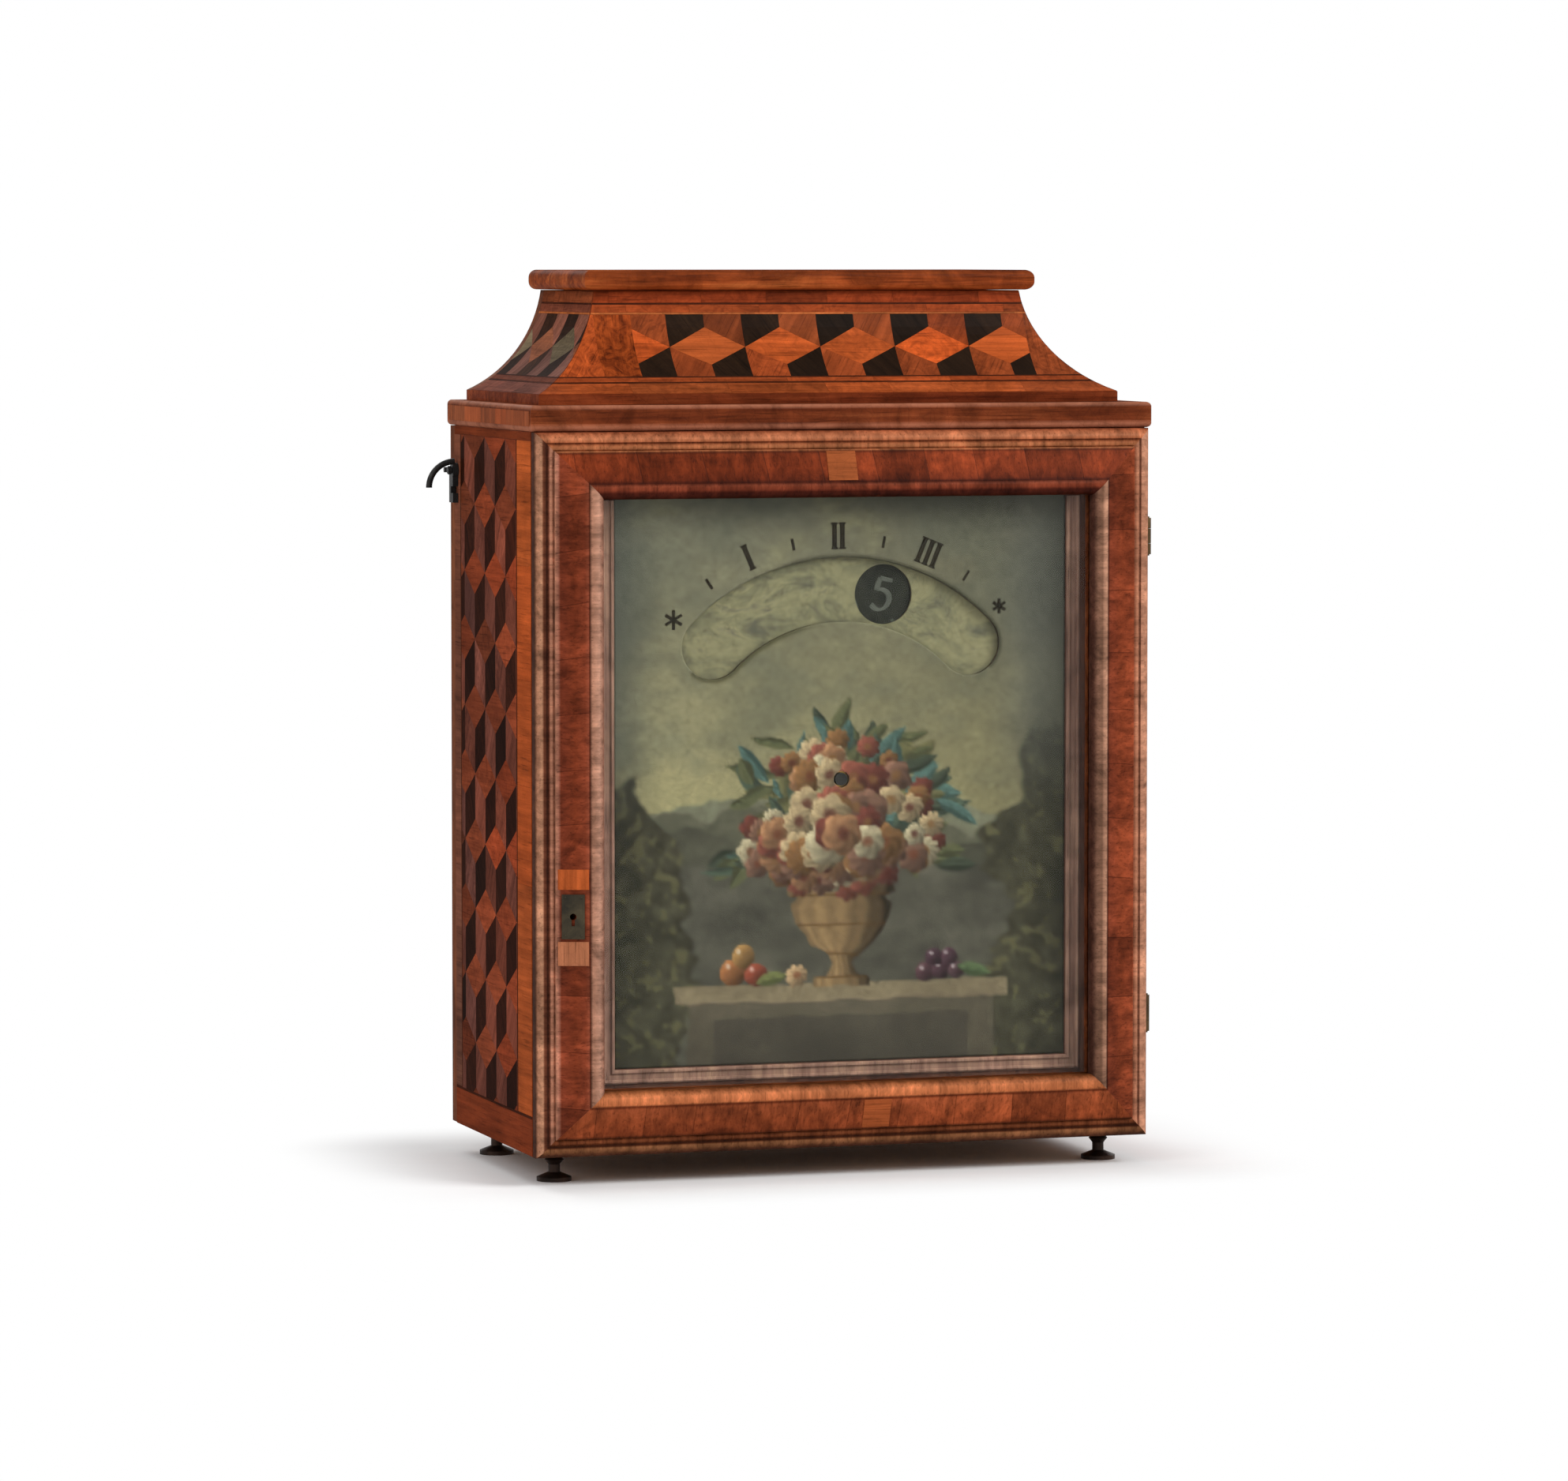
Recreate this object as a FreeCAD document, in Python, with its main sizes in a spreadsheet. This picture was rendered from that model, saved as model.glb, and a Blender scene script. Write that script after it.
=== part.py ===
import FreeCAD, Part
import math
import os
import Sketcher
from types import SimpleNamespace
from FreeCAD import Placement, Rotation, Vector

# Driving dimensions: millimetres, with angles in degrees and tooth counts
SIZES = {
    # Case boards
    "case_width": 350,
    "case_depth": 175,
    "case_height": 405,
    "side_thick": 12,
    "base_thick": 12,
    "top_thick": 14,
    "top_overhang": 1.8,
    "top_round": 2.5,
    "door_gap": 0.3,
    "rear_door_thick": 9,
    "cut_margin": 1,
    # Hood over the case
    "plinth_thick": 5.4,
    "hood_side_inset": 9.3,
    "hood_front_inset": 23.8,
    "hood_height": 55.6,
    "hood_sweep": 43,
    "hood_radius": 72,
    "hood_wall": 9,
    "hood_back_thick": 8,
    "smoke_width": 110,
    "smoke_depth": 56,
    "smoke_setback": 18,
    "cap_thick": 11,
    "cap_overhang": 7,
    "cap_round": 4.5,
    # Turned feet
    "foot_height": 16,
    "foot_inset_side": 18,
    "foot_inset_front": 27.8,
    "foot_pad_radius": 9.5,
    "foot_pad_thick": 2.2,
    "foot_waist_radius": 3.2,
    "foot_flare": 2.6,
    "foot_collar_radius": 5.2,
    "foot_flange_radius": 7.5,
    "foot_flange_thick": 1.8,
    # Front door frame, measured inwards from its edge and forwards from its back
    "frame_width": 36,
    "door_edge": 5.5,
    "ovolo_width": 5.5,
    "ovolo_rise": 4.3,
    "ovolo_radius": 5.8,
    "groove_drop": 0.8,
    "groove_width": 1,
    "bead_width": 3.5,
    "bead_radius": 2,
    "slope_start": 6,
    "slope_rise": 6.5,
    "inner_bead_width": 8.5,
    "inner_bead_radius": 5.4,
    "lip_front": 15,
    "lip_back": 10.5,
    "rebate_width": 7,
    "glass_thick": 2,
    "glass_play": 0.5,
    "glazing_depth": 5,
    # Lock
    "lock_level": 131,
    "lock_case_width": 14,
    "lock_case_depth": 8.5,
    "lock_case_height": 36,
    "lock_setback": 2,
    "lock_room": 2.5,
    "bolt_height": 8,
    "bolt_thick": 3,
    "bolt_length": 11,
    "bolt_travel": 5,
    "bolt_play": 0.3,
    "lock_plate_width": 12.4,
    "lock_plate_height": 24,
    "lock_plate_thick": 1,
    "keyhole_radius": 1.8,
    "keyhole_drop": 5,
    # Hinges
    "hinge_height": 20,
    "hinge_middle": 8,
    "hinge_leaf_width": 7.5,
    "hinge_leaf_thick": 1.2,
    "hinge_barrel_radius": 2.6,
    "hinge_stand": 1.2,
    "hinge_pin_radius": 1,
    "hinge_head_radius": 1.7,
    "hinge_head_thick": 0.8,
    "hinge_play": 0.2,
    "barrel_play": 0.4,
    "running_play": 0.05,
    "door_hinge_low": 67,
    "door_hinge_drop": 60,
    "cap_hinge_spacing": 130,
    # Rear latch hook
    "latch_drop": 25,
    "latch_setback": 15,
    "latch_pivot_radius": 1.6,
    "latch_pivot_depth": 8,
    "latch_head_radius": 2.4,
    "latch_head_thick": 1.4,
    "latch_eye_radius": 4.2,
    "latch_thick": 3,
    "latch_stand": 0.5,
    "latch_arm_length": 18,
    "latch_arm_front": 2.5,
    "latch_arm_back": 5.5,
    "latch_tail_radius": 14.5,
    "latch_tail_thick": 3.4,
    "latch_stud_radius": 1.5,
    "latch_stud_length": 5,
    "latch_play": 0.4,
    # Dial
    "dial_frame_thick": 10,
    "dial_recess": 1,
    "dial_thick": 2,
    "dial_margin": 34,
    "dial_top_margin": 25,
    "dial_lip": 3.8,
    "dial_axis_drop": 165.5,
    "slot_radius": 103.5,
    "slot_width": 35,
    "slot_span": 90,
    "arbor_hole_radius": 4.5,
    # Hour discs on their carrier
    "carrier_gap": 1.5,
    "carrier_thick": 1.5,
    "carrier_rim": 3.3,
    "carrier_room": 1.5,
    "carrier_rest_angle": 76,
    "window_radius": 16.4,
    "numeral_offset": 20,
    "hour_disc_radius": 37.5,
    "hour_disc_gap": 0.5,
    "hour_disc_thick": 1,
    "star_thick": 2,
    "star_points": 6,
    "star_radius": 13,
    "star_root_radius": 7,
    "disc_stud_radius": 2,
    "disc_head_radius": 3.5,
    "disc_head_thick": 0.8,
    "carrier_stud_radius": 3.5,
    "carrier_pipe_radius": 6,
    "pipe_play": 0.5,
    # Movement frame
    "motion_space": 22,
    "plate_thick": 2.5,
    "plate_width": 120,
    "pillar_length": 48,
    "pillar_radius": 3.6,
    "pillar_waist": 2.4,
    "pillar_inset": 8,
    "seat_drop": 136.5,
    "seat_thick": 10,
    "pivot_radius": 0.7,
    "arbor_radius": 1.2,
    "shoulder_play": 0.3,
    "wheel_thick": 2,
    "pinion_length": 4,
    "rim_width": 3,
    "spoke_width": 3,
    "hub_radius": 4,
    # Wheel train
    "carrier_teeth": 64,
    "carrier_module": 1.0,
    "drive_leaves": 16,
    "great_teeth": 64,
    "great_module": 1.2,
    "centre_leaves": 8,
    "barrel_angle": 65,
    "barrel_radius": 31,
    "centre_teeth": 72,
    "centre_module": 0.75,
    "third_leaves": 6,
    "third_teeth": 70,
    "third_module": 0.7,
    "escape_leaves": 6,
    "escape_rise": 8.5,
    "escape_teeth": 33,
    "escape_radius": 17,
    "escape_tooth": 3,
    "pallet_gap": 1.6,
    "pallet_width": 2.4,
    "anchor_reach": 24,
    "anchor_depth": 5,
    "anchor_lift": 2,
    "anchor_span": 92,
    # Winding work behind the back plate
    "winding_radius": 3.4,
    "winding_square": 4.4,
    "winding_length": 15,
    "ratchet_teeth": 20,
    "ratchet_radius": 12,
    "ratchet_root": 10.4,
    "ratchet_thick": 2,
    "click_gap": 0.4,
    "click_reach": 14,
    "click_width": 3,
    # Pendulum
    "pendulum_length": 150,
    "pendulum_rod_radius": 1.3,
    "pendulum_offset": 6.7,
    "bob_radius": 18,
    "bob_thick": 9,
    "bob_edge": 1.6,
    "cock_reach": 17,
    "cock_width": 18,
    "cock_rise": 6,
    "cock_foot": 8,
    "cock_thick": 2.5,
    "nut_radius": 4,
    "nut_thick": 3,
    # Lamp
    "shelf_rise": 18,
    "shelf_thick": 4,
    "shelf_front": 68,
    "shelf_clear": 3,
    "lamp_radius": 23,
    "lamp_body_height": 20,
    "lamp_shoulder": 9,
    "lamp_neck_radius": 5,
    "lamp_neck_height": 12,
    "lamp_wall": 1.2,
    "wick_length": 18,
    "wick_radius": 3,
}

doc = FreeCAD.newDocument("night_clock")
sheet = doc.addObject("Spreadsheet::Sheet", "sizes")
for row, (alias, number) in enumerate(SIZES.items(), start=1):
    sheet.set("A%d" % row, alias)
    sheet.set("B%d" % row, str(number))
    sheet.setAlias("B%d" % row, alias)
doc.recompute()


class Size:
    """A number together with the sheet formula that it comes from."""

    def __init__(self, value, text):
        self.value = float(value)
        self.text = text

    def __add__(self, other):
        other = as_size(other)
        return Size(self.value + other.value, "(%s + %s)" % (self.text, other.text))

    def __sub__(self, other):
        other = as_size(other)
        return Size(self.value - other.value, "(%s - %s)" % (self.text, other.text))

    def __mul__(self, other):
        other = as_size(other)
        return Size(self.value * other.value, "(%s * %s)" % (self.text, other.text))

    def __truediv__(self, other):
        other = as_size(other)
        return Size(self.value / other.value, "(%s / %s)" % (self.text, other.text))

    def __radd__(self, other):
        return as_size(other) + self

    def __rsub__(self, other):
        return as_size(other) - self

    def __rmul__(self, other):
        return as_size(other) * self

    def __neg__(self):
        return 0 - self


def as_size(item):
    return item if isinstance(item, Size) else Size(item, repr(item))


def cosine(angle):
    return Size(math.cos(math.radians(angle.value)), "cos(%s)" % angle.text)


def sine(angle):
    return Size(math.sin(math.radians(angle.value)), "sin(%s)" % angle.text)


def arctangent(ratio):
    return Size(math.degrees(math.atan(ratio.value)), "(atan(%s) / 1deg)" % ratio.text)


def root(size):
    return Size(math.sqrt(size.value), "sqrt(%s)" % size.text)


s = SimpleNamespace(**{alias: Size(number, "sizes." + alias) for alias, number in SIZES.items()})
ZERO = as_size(0)
AXES = {
    "X": Rotation(Vector(0, 0, 1), Vector(1, 0, 0)),
    "Y": Rotation(Vector(0, 0, 1), Vector(0, 1, 0)),
    "Z": Rotation(),
}
nodes = []

# Planes of the case, from the standing plane up, front to back and out from the middle
half = s.case_width / 2
inner = half - s.side_thick
front = -s.case_depth / 2
back = s.case_depth / 2
door_back = front + s.door_edge
carcass_front = door_back + s.door_gap
rear_door_front = back - s.rear_door_thick
carcass_back = rear_door_front - s.door_gap
underside = s.foot_height
base_top = underside + s.base_thick
case_top = underside + s.case_height
side_top = case_top - s.top_thick
plinth_top = case_top + s.plinth_thick
hood_top = plinth_top + s.hood_height
hood_half = half - s.hood_side_inset
hood_front_y = front + s.hood_front_inset
door_high = side_top - s.door_gap

# Planes of the dial and the movement, front to back
dial_wide = inner - s.dial_margin
dial_low = base_top + s.dial_margin
dial_high = side_top - s.dial_top_margin
dial_axis = dial_high - s.dial_axis_drop
carrier_radius = s.slot_radius + s.window_radius + s.carrier_rim
dial_front = carcass_front + s.dial_recess
dial_back = dial_front + s.dial_thick
carrier_front = dial_back + s.carrier_gap
carrier_back = carrier_front + s.carrier_thick
disc_front = carrier_back + s.hour_disc_gap
disc_back = disc_front + s.hour_disc_thick
star_back = disc_back + s.star_thick
post_end = star_back + s.hour_disc_gap
post_tip = post_end + s.disc_head_thick
plate_front = carrier_back + s.motion_space
plate_inside = plate_front + s.plate_thick
back_plate_front = plate_inside + s.pillar_length
back_plate_rear = back_plate_front + s.plate_thick
seat_top = dial_axis - s.seat_drop

# Arbor places as (x, z) pairs
carrier_at = (ZERO, dial_axis)
centre_at = (ZERO, dial_axis - (s.carrier_teeth + s.drive_leaves) * s.carrier_module / 2)
great_span = (s.great_teeth + s.centre_leaves) * s.great_module / 2
barrel_at = (
    centre_at[0] + great_span * cosine(s.barrel_angle),
    centre_at[1] - great_span * sine(s.barrel_angle),
)
escape_at = (ZERO, dial_axis + s.escape_rise)
third_span = (s.centre_teeth + s.third_leaves) * s.centre_module / 2
escape_span = (s.third_teeth + s.escape_leaves) * s.third_module / 2
climb = escape_at[1] - centre_at[1]
third_rise = (third_span * third_span - escape_span * escape_span + climb * climb) / (climb * 2)
third_at = (root(third_span * third_span - third_rise * third_rise), centre_at[1] + third_rise)
anchor_at = (ZERO, escape_at[1] + s.anchor_reach)
plate_high = anchor_at[1] + s.pillar_inset * 2


def bind(item, prop, size):
    item.setExpression(prop, as_size(size).text)


def place(item, x, y, z):
    bind(item, "Placement.Base.x", x)
    bind(item, "Placement.Base.y", y)
    bind(item, "Placement.Base.z", z)
    return item


def node(item, label):
    item.Label = label
    nodes.append(item)
    return item


def box(name, x, y, z):
    """A block between the (low, high) pairs x, y and z."""
    item = doc.addObject("Part::Box", name)
    for prop, (low, high) in zip(("Length", "Width", "Height"), (x, y, z)):
        bind(item, prop, high - low)
    return place(item, x[0], y[0], z[0])


def rod(name, radius, axis, span, centre, turn=Rotation(), angle=None):
    """A round bar along an axis over span, with centre as its other two coordinates in order."""
    item = doc.addObject("Part::Cylinder", name)
    bind(item, "Radius", radius)
    bind(item, "Height", span[1] - span[0])
    if angle is not None:
        bind(item, "Angle", angle)
    item.Placement = Placement(Vector(), AXES[axis] * turn)
    where = list(centre)
    where.insert("XYZ".index(axis), span[0])
    return place(item, *where)


def fuse(name, items):
    item = doc.addObject("Part::MultiFuse", name)
    item.Shapes = items
    return item


def cut(name, base, tools):
    item = doc.addObject("Part::Cut", name)
    item.Base = base
    item.Tool = tools[0] if len(tools) == 1 else fuse(name + "_tool", tools)
    return item


def group(name, items):
    item = doc.addObject("Part::Compound", name)
    item.Links = items
    return item


def new_body(name):
    return doc.addObject("PartDesign::Body", name)


def new_sketch(body, plane, name, offset=ZERO):
    """A sketch on one of the body's own planes, moved along that plane's normal."""
    sketch = body.newObject("Sketcher::SketchObject", name)
    support = next(item for item in body.Origin.OriginFeatures if item.Role == plane)
    sketch.AttachmentSupport = (support, [""])
    sketch.MapMode = "FlatFace"
    bind(sketch, "AttachmentOffset.Base.z", offset)
    return sketch


def arc_between(start, end, radius, side):
    """The shorter arc; side is 1 with its centre on the left of the way, and -1 on the right."""
    chord = end - start
    middle = (start + end) / 2
    left = Vector(-chord.y, chord.x, 0) / chord.Length
    rise = math.sqrt(radius**2 - (chord.Length / 2) ** 2)
    centre = middle + left * rise * side
    first, last = (start, end) if side > 0 else (end, start)
    angles = [math.atan2(item.y - centre.y, item.x - centre.x) for item in (first, last)]
    return Part.ArcOfCircle(Part.Circle(centre, Vector(0, 0, 1), radius), *angles)


def hold(sketch, kind, geometry, point, size, name):
    """Fix one coordinate of a point to a size."""
    size = as_size(size)
    if size.text == "0":
        axis = -2 if kind == "DistanceX" else -1
        sketch.addConstraint(Sketcher.Constraint("PointOnObject", geometry, point, axis))
        return
    index = sketch.addConstraint(Sketcher.Constraint(kind, -1, 1, geometry, point, size.value))
    sketch.renameConstraint(index, name)
    bind(sketch, "Constraints." + name, size)


def outline(sketch, corners):
    """A closed loop through (x, y) corners; (x, y, radius, side) starts an arc to the next corner."""
    first = sketch.GeometryCount
    count = len(corners)
    spots = [Vector(as_size(c[0]).value, as_size(c[1]).value, 0) for c in corners]
    starts = []
    for index, corner in enumerate(corners):
        begin = spots[index]
        end = spots[(index + 1) % count]
        if len(corner) == 2:
            sketch.addGeometry(Part.LineSegment(begin, end))
            starts.append(1)
        else:
            sketch.addGeometry(arc_between(begin, end, corner[2].value, corner[3]))
            starts.append(1 if corner[3] > 0 else 2)
    for index in range(count):
        following = (index + 1) % count
        ends = (first + index, 3 - starts[index], first + following, starts[following])
        sketch.addConstraint(Sketcher.Constraint("Coincident", *ends))
    for index, corner in enumerate(corners):
        tag = "%d" % (first + index)
        hold(sketch, "DistanceX", first + index, starts[index], corner[0], "x" + tag)
        hold(sketch, "DistanceY", first + index, starts[index], corner[1], "y" + tag)
        if len(corner) > 2:
            radius = Sketcher.Constraint("Radius", first + index, corner[2].value)
            sketch.renameConstraint(sketch.addConstraint(radius), "r" + tag)
            bind(sketch, "Constraints.r" + tag, corner[2])


def pad(body, sketch, length, reverse=False, symmetric=False):
    feature = body.newObject("PartDesign::Pad", sketch.Name + "_pad")
    feature.Profile = sketch
    feature.Reversed = reverse
    feature.SideType = "Symmetric" if symmetric else "One side"
    bind(feature, "Length", length)
    return feature


def pocket_through(body, sketch, length):
    """Cut the sketch out to both sides."""
    feature = body.newObject("PartDesign::Pocket", sketch.Name + "_pocket")
    feature.Profile = sketch
    feature.SideType = "Symmetric"
    feature.Type = "Length"
    bind(feature, "Length", length)
    return feature


def turned(name, corners):
    """A solid turned about Z from (radius, height) corners."""
    body = new_body(name)
    sketch = new_sketch(body, "XZ_Plane", name + "_profile")
    outline(sketch, corners)
    feature = body.newObject("PartDesign::Revolution", name + "_turning")
    feature.Profile = sketch
    feature.ReferenceAxis = (sketch, ["V_Axis"])
    feature.Angle = 360
    return body


def rounded_board(name, x, y, z, radius):
    """A block whose long edges are rounded at the front and the sides, and left square at the back."""
    board = box(name, x, y, z)
    doc.recompute()
    rounded = doc.addObject("Part::Fillet", name + "Rounded")
    rounded.Base = board
    rounded.Edges = [
        (index, radius.value, radius.value)
        for index, edge in enumerate(board.Shape.Edges, start=1)
        if edge.BoundBox.ZLength < radius.value and edge.BoundBox.YMin < y[1].value - radius.value
    ]
    return rounded


# Case boards
def case_boards(hinge_cuts):
    depth = (carcass_front, carcass_back)
    lift = (underside, side_top)
    node(box("BaseBoard", (-inner, inner), depth, (underside, base_top)), "base_board")
    bolt_level = underside + s.lock_level
    bolt_half = s.bolt_height / 2 + s.bolt_play
    bolt_y = (bolt_front - s.bolt_play, bolt_front + s.bolt_thick + s.bolt_play)
    bolt_reach = s.bolt_travel - s.lock_setback + s.bolt_play * 4
    bolt_slot = box("BoltSlot", (-inner - bolt_reach, s.cut_margin - inner), bolt_y,
                    (bolt_level - bolt_half, bolt_level + bolt_half))
    pivot_hole = rod("LatchHole", s.latch_pivot_radius, "X", (-half, s.latch_pivot_depth - half), latch_at)
    left = box("LeftBoard", (-half, -inner), depth, lift)
    node(cut("LeftSide", left, [bolt_slot, pivot_hole]), "left_side")
    right = box("RightBoard", (inner, half), depth, lift)
    node(cut("RightSide", right, hinge_cuts), "right_side")
    wide = half + s.top_overhang
    board = rounded_board("TopBoard", (-wide, wide), (front, back), (side_top, case_top), s.top_round)
    smoke = box("SmokeHole", (-s.smoke_width / 2, s.smoke_width / 2), smoke_y,
                (side_top - s.cut_margin, case_top + s.cut_margin))
    node(cut("TopBoardOpen", board, [smoke]), "top_board")


# Hood: a hollow-curved roof on three sides with a flat back
def hood_section(side, x_or_y):
    """The section of a hood board: its hollow face, its top and its inner face, outer foot first."""
    foot = x_or_y
    inward = -side
    return [
        (foot, plinth_top, s.hood_radius, -side),
        (foot + s.hood_sweep * inward, hood_top),
        (foot + (s.hood_sweep + s.hood_wall) * inward, hood_top, s.hood_radius, side),
        (foot + s.hood_wall * inward, plinth_top),
    ]


def hood_boards(cap_hinge_cuts):
    reach = s.hood_sweep + s.hood_wall
    edge = s.cut_margin
    rear = back - s.hood_back_thick
    plinth = box("PlinthBoard", (-hood_half, hood_half), (hood_front_y, back), (case_top, plinth_top))
    hole = box("PlinthHole", (-s.smoke_width / 2, s.smoke_width / 2), smoke_y,
               (case_top - edge, plinth_top + edge))
    node(cut("Plinth", plinth, [hole]), "hood_plinth")

    body = new_body("HoodFront")
    section = new_sketch(body, "YZ_Plane", "HoodFrontSection")
    outline(section, hood_section(-1, hood_front_y))
    pad(body, section, hood_half * 2, symmetric=True)
    mitre = new_sketch(body, "XY_Plane", "HoodFrontMitre")
    for side in (-1, 1):
        outline(mitre, [
            (side * (hood_half + edge), hood_front_y - edge),
            (side * (hood_half + edge), hood_front_y + reach + edge),
            (side * (hood_half - reach - edge), hood_front_y + reach + edge),
        ])
    pocket_through(body, mitre, hood_top * 3)
    node(body, "hood_front")

    for side, label in ((-1, "hood_left"), (1, "hood_right")):
        body = new_body(label)
        section = new_sketch(body, "XZ_Plane", label + "_section", -hood_front_y)
        outline(section, hood_section(side, side * hood_half))
        pad(body, section, rear - hood_front_y, reverse=True)
        mitre = new_sketch(body, "XY_Plane", label + "_mitre")
        outline(mitre, [
            (side * (hood_half + edge), hood_front_y - edge),
            (side * (hood_half - reach - edge), hood_front_y - edge),
            (side * (hood_half - reach - edge), hood_front_y + reach + edge),
        ])
        pocket_through(body, mitre, hood_top * 3)
        node(body, label)

    body = new_body("HoodBack")
    section = new_sketch(body, "XZ_Plane", "HoodBackSection", -rear)
    outline(section, [
        (-hood_half, plinth_top, s.hood_radius, 1),
        (s.hood_sweep - hood_half, hood_top),
        (hood_half - s.hood_sweep, hood_top, s.hood_radius, 1),
        (hood_half, plinth_top),
    ])
    pad(body, section, s.hood_back_thick, reverse=True)
    node(cut("HoodBackHinged", body, cap_hinge_cuts), "hood_back")


def cap_board(hinge_cuts):
    wide = hood_half - s.hood_sweep + s.cap_overhang
    fore = hood_front_y + s.hood_sweep - s.cap_overhang
    low = hood_top + s.door_gap
    board = rounded_board("CapBoard", (-wide, wide), (fore, back), (low, low + s.cap_thick), s.cap_round)
    node(cut("Cap", board, hinge_cuts), "vent_cap")


# Feet
def feet():
    profile = [
        (ZERO, ZERO),
        (s.foot_pad_radius, ZERO),
        (s.foot_pad_radius, s.foot_pad_thick),
        (s.foot_waist_radius, s.foot_pad_thick + s.foot_flare),
        (s.foot_waist_radius, s.foot_height - s.foot_flange_thick - s.foot_flare * 2),
        (s.foot_collar_radius, s.foot_height - s.foot_flange_thick - s.foot_flare),
        (s.foot_waist_radius, s.foot_height - s.foot_flange_thick),
        (s.foot_flange_radius, s.foot_height - s.foot_flange_thick),
        (s.foot_flange_radius, s.foot_height),
        (ZERO, s.foot_height),
    ]
    items = []
    for along in (-1, 1):
        for across in (-1, 1):
            foot = turned("Foot%d" % (len(items) + 1), profile)
            place(foot, across * (half - s.foot_inset_side), along * (back - s.foot_inset_front), 0)
            items.append(foot)
    node(group("Feet", items), "feet")


# Front door
def frame_profile(outer, inward, flip):
    """The frame's section as corners: distance from the outer edge inwards, and forwards from the back."""
    wind = inward * flip
    bead_start = s.ovolo_width + s.groove_width
    slope_from = bead_start + s.bead_width
    groove = s.door_edge + s.ovolo_rise - s.groove_drop
    slope_low = s.door_edge + s.slope_start
    slope_high = slope_low + s.slope_rise
    steps = [
        (ZERO, ZERO),
        (ZERO, s.door_edge, s.ovolo_radius, wind),
        (s.ovolo_width, s.door_edge + s.ovolo_rise),
        (s.ovolo_width, groove),
        (bead_start, groove, s.bead_radius, wind),
        (slope_from, groove),
        (slope_from, slope_low),
        (s.frame_width - s.inner_bead_width, slope_high, s.inner_bead_radius, wind),
        (s.frame_width, s.lip_front),
        (s.frame_width, s.lip_back),
        (s.frame_width - s.rebate_width, s.lip_back),
        (s.frame_width - s.rebate_width, ZERO),
    ]
    corners = []
    for step in steps:
        across = outer + inward * step[0]
        depth = door_back - step[1]
        corners.append((across, depth) + step[2:] if flip > 0 else (depth, across) + step[2:])
    return corners


def mitre_corner(sketch, side, level, inward, keep_rail):
    """A triangle past the corner's diagonal; it leaves either the rail or the stile."""
    edge = s.cut_margin
    outside = (side * (half + edge), level - inward * edge)
    inside = (side * (half - s.frame_width - edge), level + inward * (s.frame_width + edge))
    third = (outside[0], inside[1]) if keep_rail else (inside[0], outside[1])
    outline(sketch, [outside, inside, third])


def door_members(lock_cuts, hinge_cuts):
    for side, label in ((-1, "door_stile_left"), (1, "door_stile_right")):
        body = new_body(label + "_body")
        section = new_sketch(body, "XY_Plane", label + "_section", underside)
        outline(section, frame_profile(side * half, -side, 1))
        pad(body, section, door_high - underside)
        mitre = new_sketch(body, "XZ_Plane", label + "_mitre")
        mitre_corner(mitre, side, door_high, -1, False)
        mitre_corner(mitre, side, underside, 1, False)
        pocket_through(body, mitre, s.case_depth * 2)
        node(cut(label + "_cut", body, lock_cuts if side < 0 else hinge_cuts), label)
    for level, inward, label in ((door_high, -1, "door_rail_top"), (underside, 1, "door_rail_bottom")):
        body = new_body(label)
        section = new_sketch(body, "YZ_Plane", label + "_section")
        outline(section, frame_profile(level, inward, -1))
        pad(body, section, s.case_width, symmetric=True)
        mitre = new_sketch(body, "XZ_Plane", label + "_mitre")
        for side in (-1, 1):
            mitre_corner(mitre, side, level, inward, True)
        pocket_through(body, mitre, s.case_depth * 2)
        node(body, label)


def door_glazing():
    reach = s.frame_width - s.rebate_width
    wide = half - reach - s.glass_play
    low = underside + reach + s.glass_play
    high = door_high - reach - s.glass_play
    glass_front = door_back - s.lip_back
    glass_back = glass_front + s.glass_thick
    node(box("Glass", (-wide, wide), (glass_front, glass_back), (low, high)), "door_glass")
    strip = s.rebate_width - s.glass_play
    depth = (glass_back, glass_back + s.glazing_depth)
    strips = [
        box("StripLow", (-wide, wide), depth, (low, low + strip)),
        box("StripHigh", (-wide, wide), depth, (high - strip, high)),
        box("StripLeft", (-wide, strip - wide), depth, (low + strip, high - strip)),
        box("StripRight", (wide - strip, wide), depth, (low + strip, high - strip)),
    ]
    node(group("GlazingStrips", strips), "glazing_strips")


# Lock on the back of the left stile
lock_level = underside + s.lock_level
lock_left = s.lock_setback - inner
lock_right = lock_left + s.lock_case_width
bolt_front = door_back + (s.lock_case_depth - s.bolt_thick) / 2
latch_at = (carcass_back - s.latch_setback + s.rear_door_thick, side_top - s.latch_drop)
smoke_y = (back - s.smoke_setback - s.smoke_depth, back - s.smoke_setback)
slope_from = s.ovolo_width + s.groove_width + s.bead_width
slope_width = s.frame_width - s.inner_bead_width - slope_from
slope_middle = (
    slope_from + slope_width / 2 - half,
    door_back - s.door_edge - s.slope_start - s.slope_rise / 2,
)


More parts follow.
